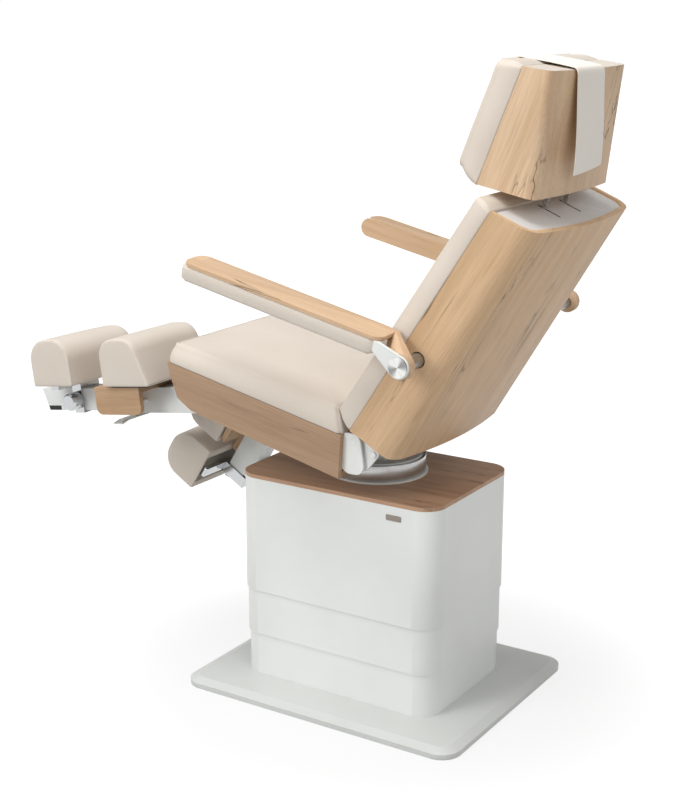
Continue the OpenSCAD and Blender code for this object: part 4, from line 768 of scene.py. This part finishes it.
def arm_pad(side):
    """Leather under the wooden top, on the outer side, round the front end."""
    word = WORDS[side]
    x0, x1 = ARM_PAD_X
    rings = []
    stations = 44
    for i in range(stations + 1):
        x = x0 + (x1 - x0) * (i / stations)
        ring = []
        for y, z in arm_section(x):
            uneven = wobble((x, y, z), size=0.08, amount=0.0008) if y > ARM_EVEN_TO else 0
            ring.append((x, y + uneven, z))
        rings.append(ring)
    o = loft("arm_upholstery_" + word, rings, LEATHER, arm(side), 50)
    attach(o, "armrest_" + word)
    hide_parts("arm_pad_" + word)


for side in SIDES:
    arm_pad(side)


# ---------------------------------------------------------------- calf and foot pads
PAD_IN, PAD_OUT = 0.0045, 0.2805  # inner and outer end of each pad
PAD_EDGE = 0.004  # radius of its lower edges
# length, height, radius of the rounded top, and the underside's place in the leg's frame
CALF_L, CALF_H, CALF_R, CALF_Z = 0.161, 0.1295, 0.050, 0.0282
CALF_REAR = {1: 0.170, -1: 0.114}  # from the knee axle
CALF_FLAT = 0.032  # length of the calf pad's flat top
FOOT_L, FOOT_H, FOOT_R, FOOT_Z = 0.142, 0.132, 0.060, 0.0292
FOOT_REAR = {1: 0.447, -1: 0.317}  # from the knee axle
FOOT_FALL = 0.007  # how far the foot pad's top falls toward its inner end
PAD_BED, RAIL_W = 0.285, 0.252  # widths of a pad's bed and of the foot rail
# the recess under a foot pad: half its length, its room past the rail's ends, its height
RECESS_HALF, RECESS_END, RECESS_UP = 0.047, 0.008, 0.022


def pad_profile(rear, low, length, height, r, tops):
    """A pad's side outline: small lower edges, and a top round the centres tops."""
    pts = circle(PAD_EDGE, PAD_EDGE, PAD_EDGE, 24)
    pts += circle(length - PAD_EDGE, PAD_EDGE, PAD_EDGE, 24)
    for x in tops:
        pts += circle(x, height - r, r)
    return [(rear + x, low + z) for x, z in convex(pts)]


def calf(side):
    """A calf pad and the dark board under it."""
    word = WORDS[side]
    rear = CALF_REAR[side]
    tops = (CALF_L - CALF_R, CALF_L - CALF_R - CALF_FLAT)
    profile = pad_profile(rear, CALF_Z, CALF_L, CALF_H, CALF_R, tops)
    o = roll("calf_upholstery_" + word, leg(side), profile, PAD_IN, PAD_OUT)
    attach(o, "calf_" + word)
    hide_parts("calf_pad_" + word)
    # the board, with rounded edges
    x0, x1, y0, y1, z0, z1 = rear + 0.014, rear + CALF_L - 0.014, 0.018, 0.267, 0.0231, CALF_Z
    rings = []
    for z, inset in ((z0, 0.0016), (z0 + 0.0005, 0.0006), (z0 + 0.0014, 0.0),
                     (z1 - 0.0014, 0.0), (z1 - 0.0005, 0.0006), (z1, 0.0016)):
        outline = rect_ring(x0 + inset, x1 - inset, y0 + inset, y1 - inset, 0.008)
        rings.append([(x, y, z) for x, y, *_ in outline])
    b = loft("calf_base_" + word, rings, BLACK_BOARD, leg(side), 40)
    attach(b, "calf_" + word)


def foot(side):
    """A foot pad, hollowed underneath for its rail and carriage."""
    word = WORDS[side]
    rear = FOOT_REAR[side]
    place = leg(side)
    profile = pad_profile(rear, FOOT_Z, FOOT_L, FOOT_H, FOOT_R, (FOOT_L - FOOT_R, FOOT_R))
    o = roll("foot_upholstery_" + word, place, profile, PAD_IN, PAD_OUT)
    # the top falls toward the inner end
    to_leg = place.inverted()
    for v in o.data.vertices:
        p = to_leg @ v.co
        up_share = min(max((p.z - FOOT_Z) / FOOT_H, 0), 1)
        p.z -= FOOT_FALL * (PAD_OUT - p.y) / (PAD_OUT - PAD_IN) * up_share
        v.co = place @ p
    # the recess for the rail and its carriage
    mid = rear + FOOT_L / 2
    rail = (PAD_BED - RAIL_W) / 2
    carve(o, (mid - RECESS_HALF, rail - RECESS_END, FOOT_Z - 0.02),
          (mid + RECESS_HALF, rail + RAIL_W + RECESS_END, FOOT_Z + RECESS_UP), place)
    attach(o, "foot_" + word)
    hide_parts("foot_pad_" + word)


for side in SIDES:
    calf(side)
    foot(side)


# ---------------------------------------------------------------- finishes of the rigid nodes
# each node's material, and the width of its worn edges in millimetres
PLAN = {
    "base_plate": (WHITE_PLATE, 1.2), "lower_cover": (WHITE_COVER, 0.4),
    "middle_cover": (WHITE_COVER, 0.4), "upper_cover": (WHITE_COVER, 0.8),
    "mast_outer": (STEEL, 0.6), "mast_middle": (STEEL, 0.6), "mast_inner": (STEEL, 0.6),
    "top_board": (BOARD, 1.2), "bare_plate": (BRONZE, 0.3), "mains_inlet": (BLACK, 0.6),
    "swivel_flange": (WHITE, 1.0), "swivel_drum": (STEEL, 0.8), "turret_yoke": (WHITE, 0.8),
    "seat_frame": (WHITE, 0.8), "seat_brackets": (WHITE, 0.9), "knee_axle": (STEEL, 0.6),
    "hinge_pins": (STEEL, 0.6), "back_frame": (WHITE, 0.8), "slot_plate": (GREY, 0.6),
    "back_bolts": (STEEL, 0.6), "head_bars": (CHROME, 0.5), "head_block": (STEEL, 0.8),
}
for word in WORDS.values():
    PLAN.update({
        "arm_shaft_" + word: (GREY_METAL, 0.8), "arm_bracket_" + word: (WHITE, 1.2),
        "arm_disc_" + word: (DISC[word], 0.5), "leg_carrier_" + word: (WHITE, 1.2),
        "leg_beam_" + word: (WHITE, 1.2), "beam_cap_" + word: (BLACK, 1.5),
        "foot_carriage_" + word: (CHROME, 0.8), "foot_rail_" + word: (CHROME, 0.8),
        "clamp_knob_" + word: (CHROME, 0.8), "release_lever_" + word: (STEEL, 0.6),
    })
for name, material in OAK.items():
    PLAN[name] = (material, 2.0 if name.endswith("_shell") else 1.6)
for name, (material, width) in PLAN.items():
    o = NODES[name]
    o.data.materials.clear()
    o.data.materials.append(material)
    weld = o.modifiers.new("weld", "WELD")
    weld.merge_threshold = 2e-5
    bevel = o.modifiers.new("edge", "BEVEL")
    bevel.width = width * MM
    bevel.segments = 2
    bevel.limit_method = "ANGLE"
    bevel.angle_limit = math.radians(32)
    bevel.use_clamp_overlap = True


def faces_finish_and_shade(name, material, test):
    """Gives some faces of a rigid node another material, such as black for painted shade."""
    o = NODES[name]
    o.data.materials.append(material)
    turn = o.matrix_world.to_3x3()
    for p in o.data.polygons:
        if test(o.matrix_world @ p.center, (turn @ p.normal).normalized()):
            p.material_index = len(o.data.materials) - 1


def slot_shade_faces(at, normal):
    """Faces inside the grey plate's slots, not on its rim; black there is painted shade."""
    return abs(normal.dot(BACK.to_3x3() @ Vector((0, 0, 1)))) < 0.5 and abs(at.y) < 0.12


def head_top(at, normal):
    """The face on top of the headrest's shell."""
    return (normal.dot(HEAD.to_3x3() @ Vector((0, 0, 1))) > 0.9
            and (HEAD.inverted() @ at).z > 0.2)


# the slot walls turn black: painted shade inside the slots
faces_finish_and_shade("slot_plate", BLACK, slot_shade_faces)
faces_finish_and_shade("head_shell", LEATHER, head_top)


# ---------------------------------------------------------------- floor, light, camera
FLOOR_HALF, FLOOR_Z = 30, -0.0005
FADE_START, FADE_END = 0.45, 1.25  # metres from the origin


def floor():
    """A pale floor that fades to plain white away from the chair."""
    me = bpy.data.meshes.new("floor")
    h, z = FLOOR_HALF, FLOOR_Z
    me.from_pydata([(-h, -h, z), (h, -h, z), (h, h, z), (-h, h, z)], [], [(0, 1, 2, 3)])
    o = bpy.data.objects.new("floor", me)
    bpy.context.scene.collection.objects.link(o)
    s = Shader("floor_pale", rough=0.9, colour=(186, 186, 186), spec=0.1)
    glow = s.node("ShaderNodeEmission", Color=(1, 1, 1, 1), Strength=1.16)
    paths = s.node("ShaderNodeLightPath")
    seen = s.math("MAXIMUM", paths.outputs["Is Camera Ray"], paths.outputs["Is Glossy Ray"])
    c = s.node("ShaderNodeTexCoord")
    distance = s.node("ShaderNodeVectorMath", operation="LENGTH")
    s.link(c.outputs["Object"], distance.inputs[0])
    far = s.node("ShaderNodeMapRange", interpolation_type="SMOOTHSTEP", From_Min=FADE_START,
                 From_Max=FADE_END, To_Min=0.7, To_Max=1.0)
    s.link(distance.outputs["Value"], far.inputs["Value"])
    mix = s.node("ShaderNodeMixShader")
    s.link(s.math("MULTIPLY", seen, far.outputs[0]), mix.inputs[0])
    s.link(s.b.outputs[0], mix.inputs[1])
    s.link(glow.outputs[0], mix.inputs[2])
    s.link(mix.outputs[0], s.t.nodes["Material Output"].inputs["Surface"])
    me.materials.append(s.m)


floor()


def studio():
    """A soft, even world, white behind the chair."""
    world = bpy.data.worlds.new("studio")
    bpy.context.scene.world = world
    world.use_nodes = True
    tree = world.node_tree
    soft = tree.nodes["Background"]
    soft.inputs["Color"].default_value = (1, 1, 1, 1)
    soft.inputs["Strength"].default_value = 0.44
    white = tree.nodes.new("ShaderNodeBackground")
    white.inputs["Color"].default_value = (1, 1, 1, 1)
    white.inputs["Strength"].default_value = 1.0
    paths = tree.nodes.new("ShaderNodeLightPath")
    seen = tree.nodes.new("ShaderNodeMath")
    seen.operation = "MAXIMUM"
    tree.links.new(paths.outputs["Is Camera Ray"], seen.inputs[0])
    tree.links.new(paths.outputs["Is Transmission Ray"], seen.inputs[1])
    mix = tree.nodes.new("ShaderNodeMixShader")
    tree.links.new(seen.outputs[0], mix.inputs[0])
    tree.links.new(soft.outputs[0], mix.inputs[1])
    tree.links.new(white.outputs[0], mix.inputs[2])
    tree.links.new(mix.outputs[0], tree.nodes["World Output"].inputs["Surface"])


studio()

# name, place, target, diameter, power
LAMPS = (
    ("key", (2.0, 4.4, 3.6), (0, 0, 0.9), 2.6, 112),
    ("top", (0.5, 0.8, 5.0), (0, 0, 0.8), 3.0, 112),
    ("fill", (-4.2, 1.6, 2.6), (0, 0, 0.9), 2.4, 18),
    ("low", (1.4, 4.4, 1.5), (0.3, 0, 0.8), 2.0, 3),
    ("head", (-3.0, 2.4, 3.6), (-0.5, 0, 1.6), 1.2, 16),
)
for name, at, to, size, power in LAMPS:
    light = bpy.data.lights.new(name, "AREA")
    light.shape = "DISK"
    light.size = size
    light.energy = power
    lamp = bpy.data.objects.new(name, light)
    lamp.location = at
    lamp.rotation_mode = "QUATERNION"
    lamp.rotation_quaternion = (Vector(to) - Vector(at)).to_track_quat("-Z", "Y")
    bpy.context.scene.collection.objects.link(lamp)

YAW, PITCH = math.radians(57.36), math.radians(15.05)
CAMERA_AT = (-1.956, 3.238, 1.801)
FOCAL_PIXELS, FRAME_PIXELS, SENSOR = 1490, 800, 36
ahead = Vector((math.cos(YAW) * math.cos(PITCH), -math.sin(YAW) * math.cos(PITCH),
                -math.sin(PITCH)))
right = Vector((-math.sin(YAW), -math.cos(YAW), 0))
up = right.cross(ahead)
cam_data = bpy.data.cameras.new("camera")
cam_data.lens = FOCAL_PIXELS / FRAME_PIXELS * SENSOR
cam_data.sensor_width = SENSOR
cam_data.clip_end = 200
cam = bpy.data.objects.new("camera", cam_data)
turn = Matrix((right, up, -ahead)).transposed().to_4x4()
cam.matrix_world = Matrix.Translation(CAMERA_AT) @ turn
bpy.context.scene.collection.objects.link(cam)
bpy.context.scene.camera = cam
bpy.context.scene.view_settings.view_transform = "Standard"
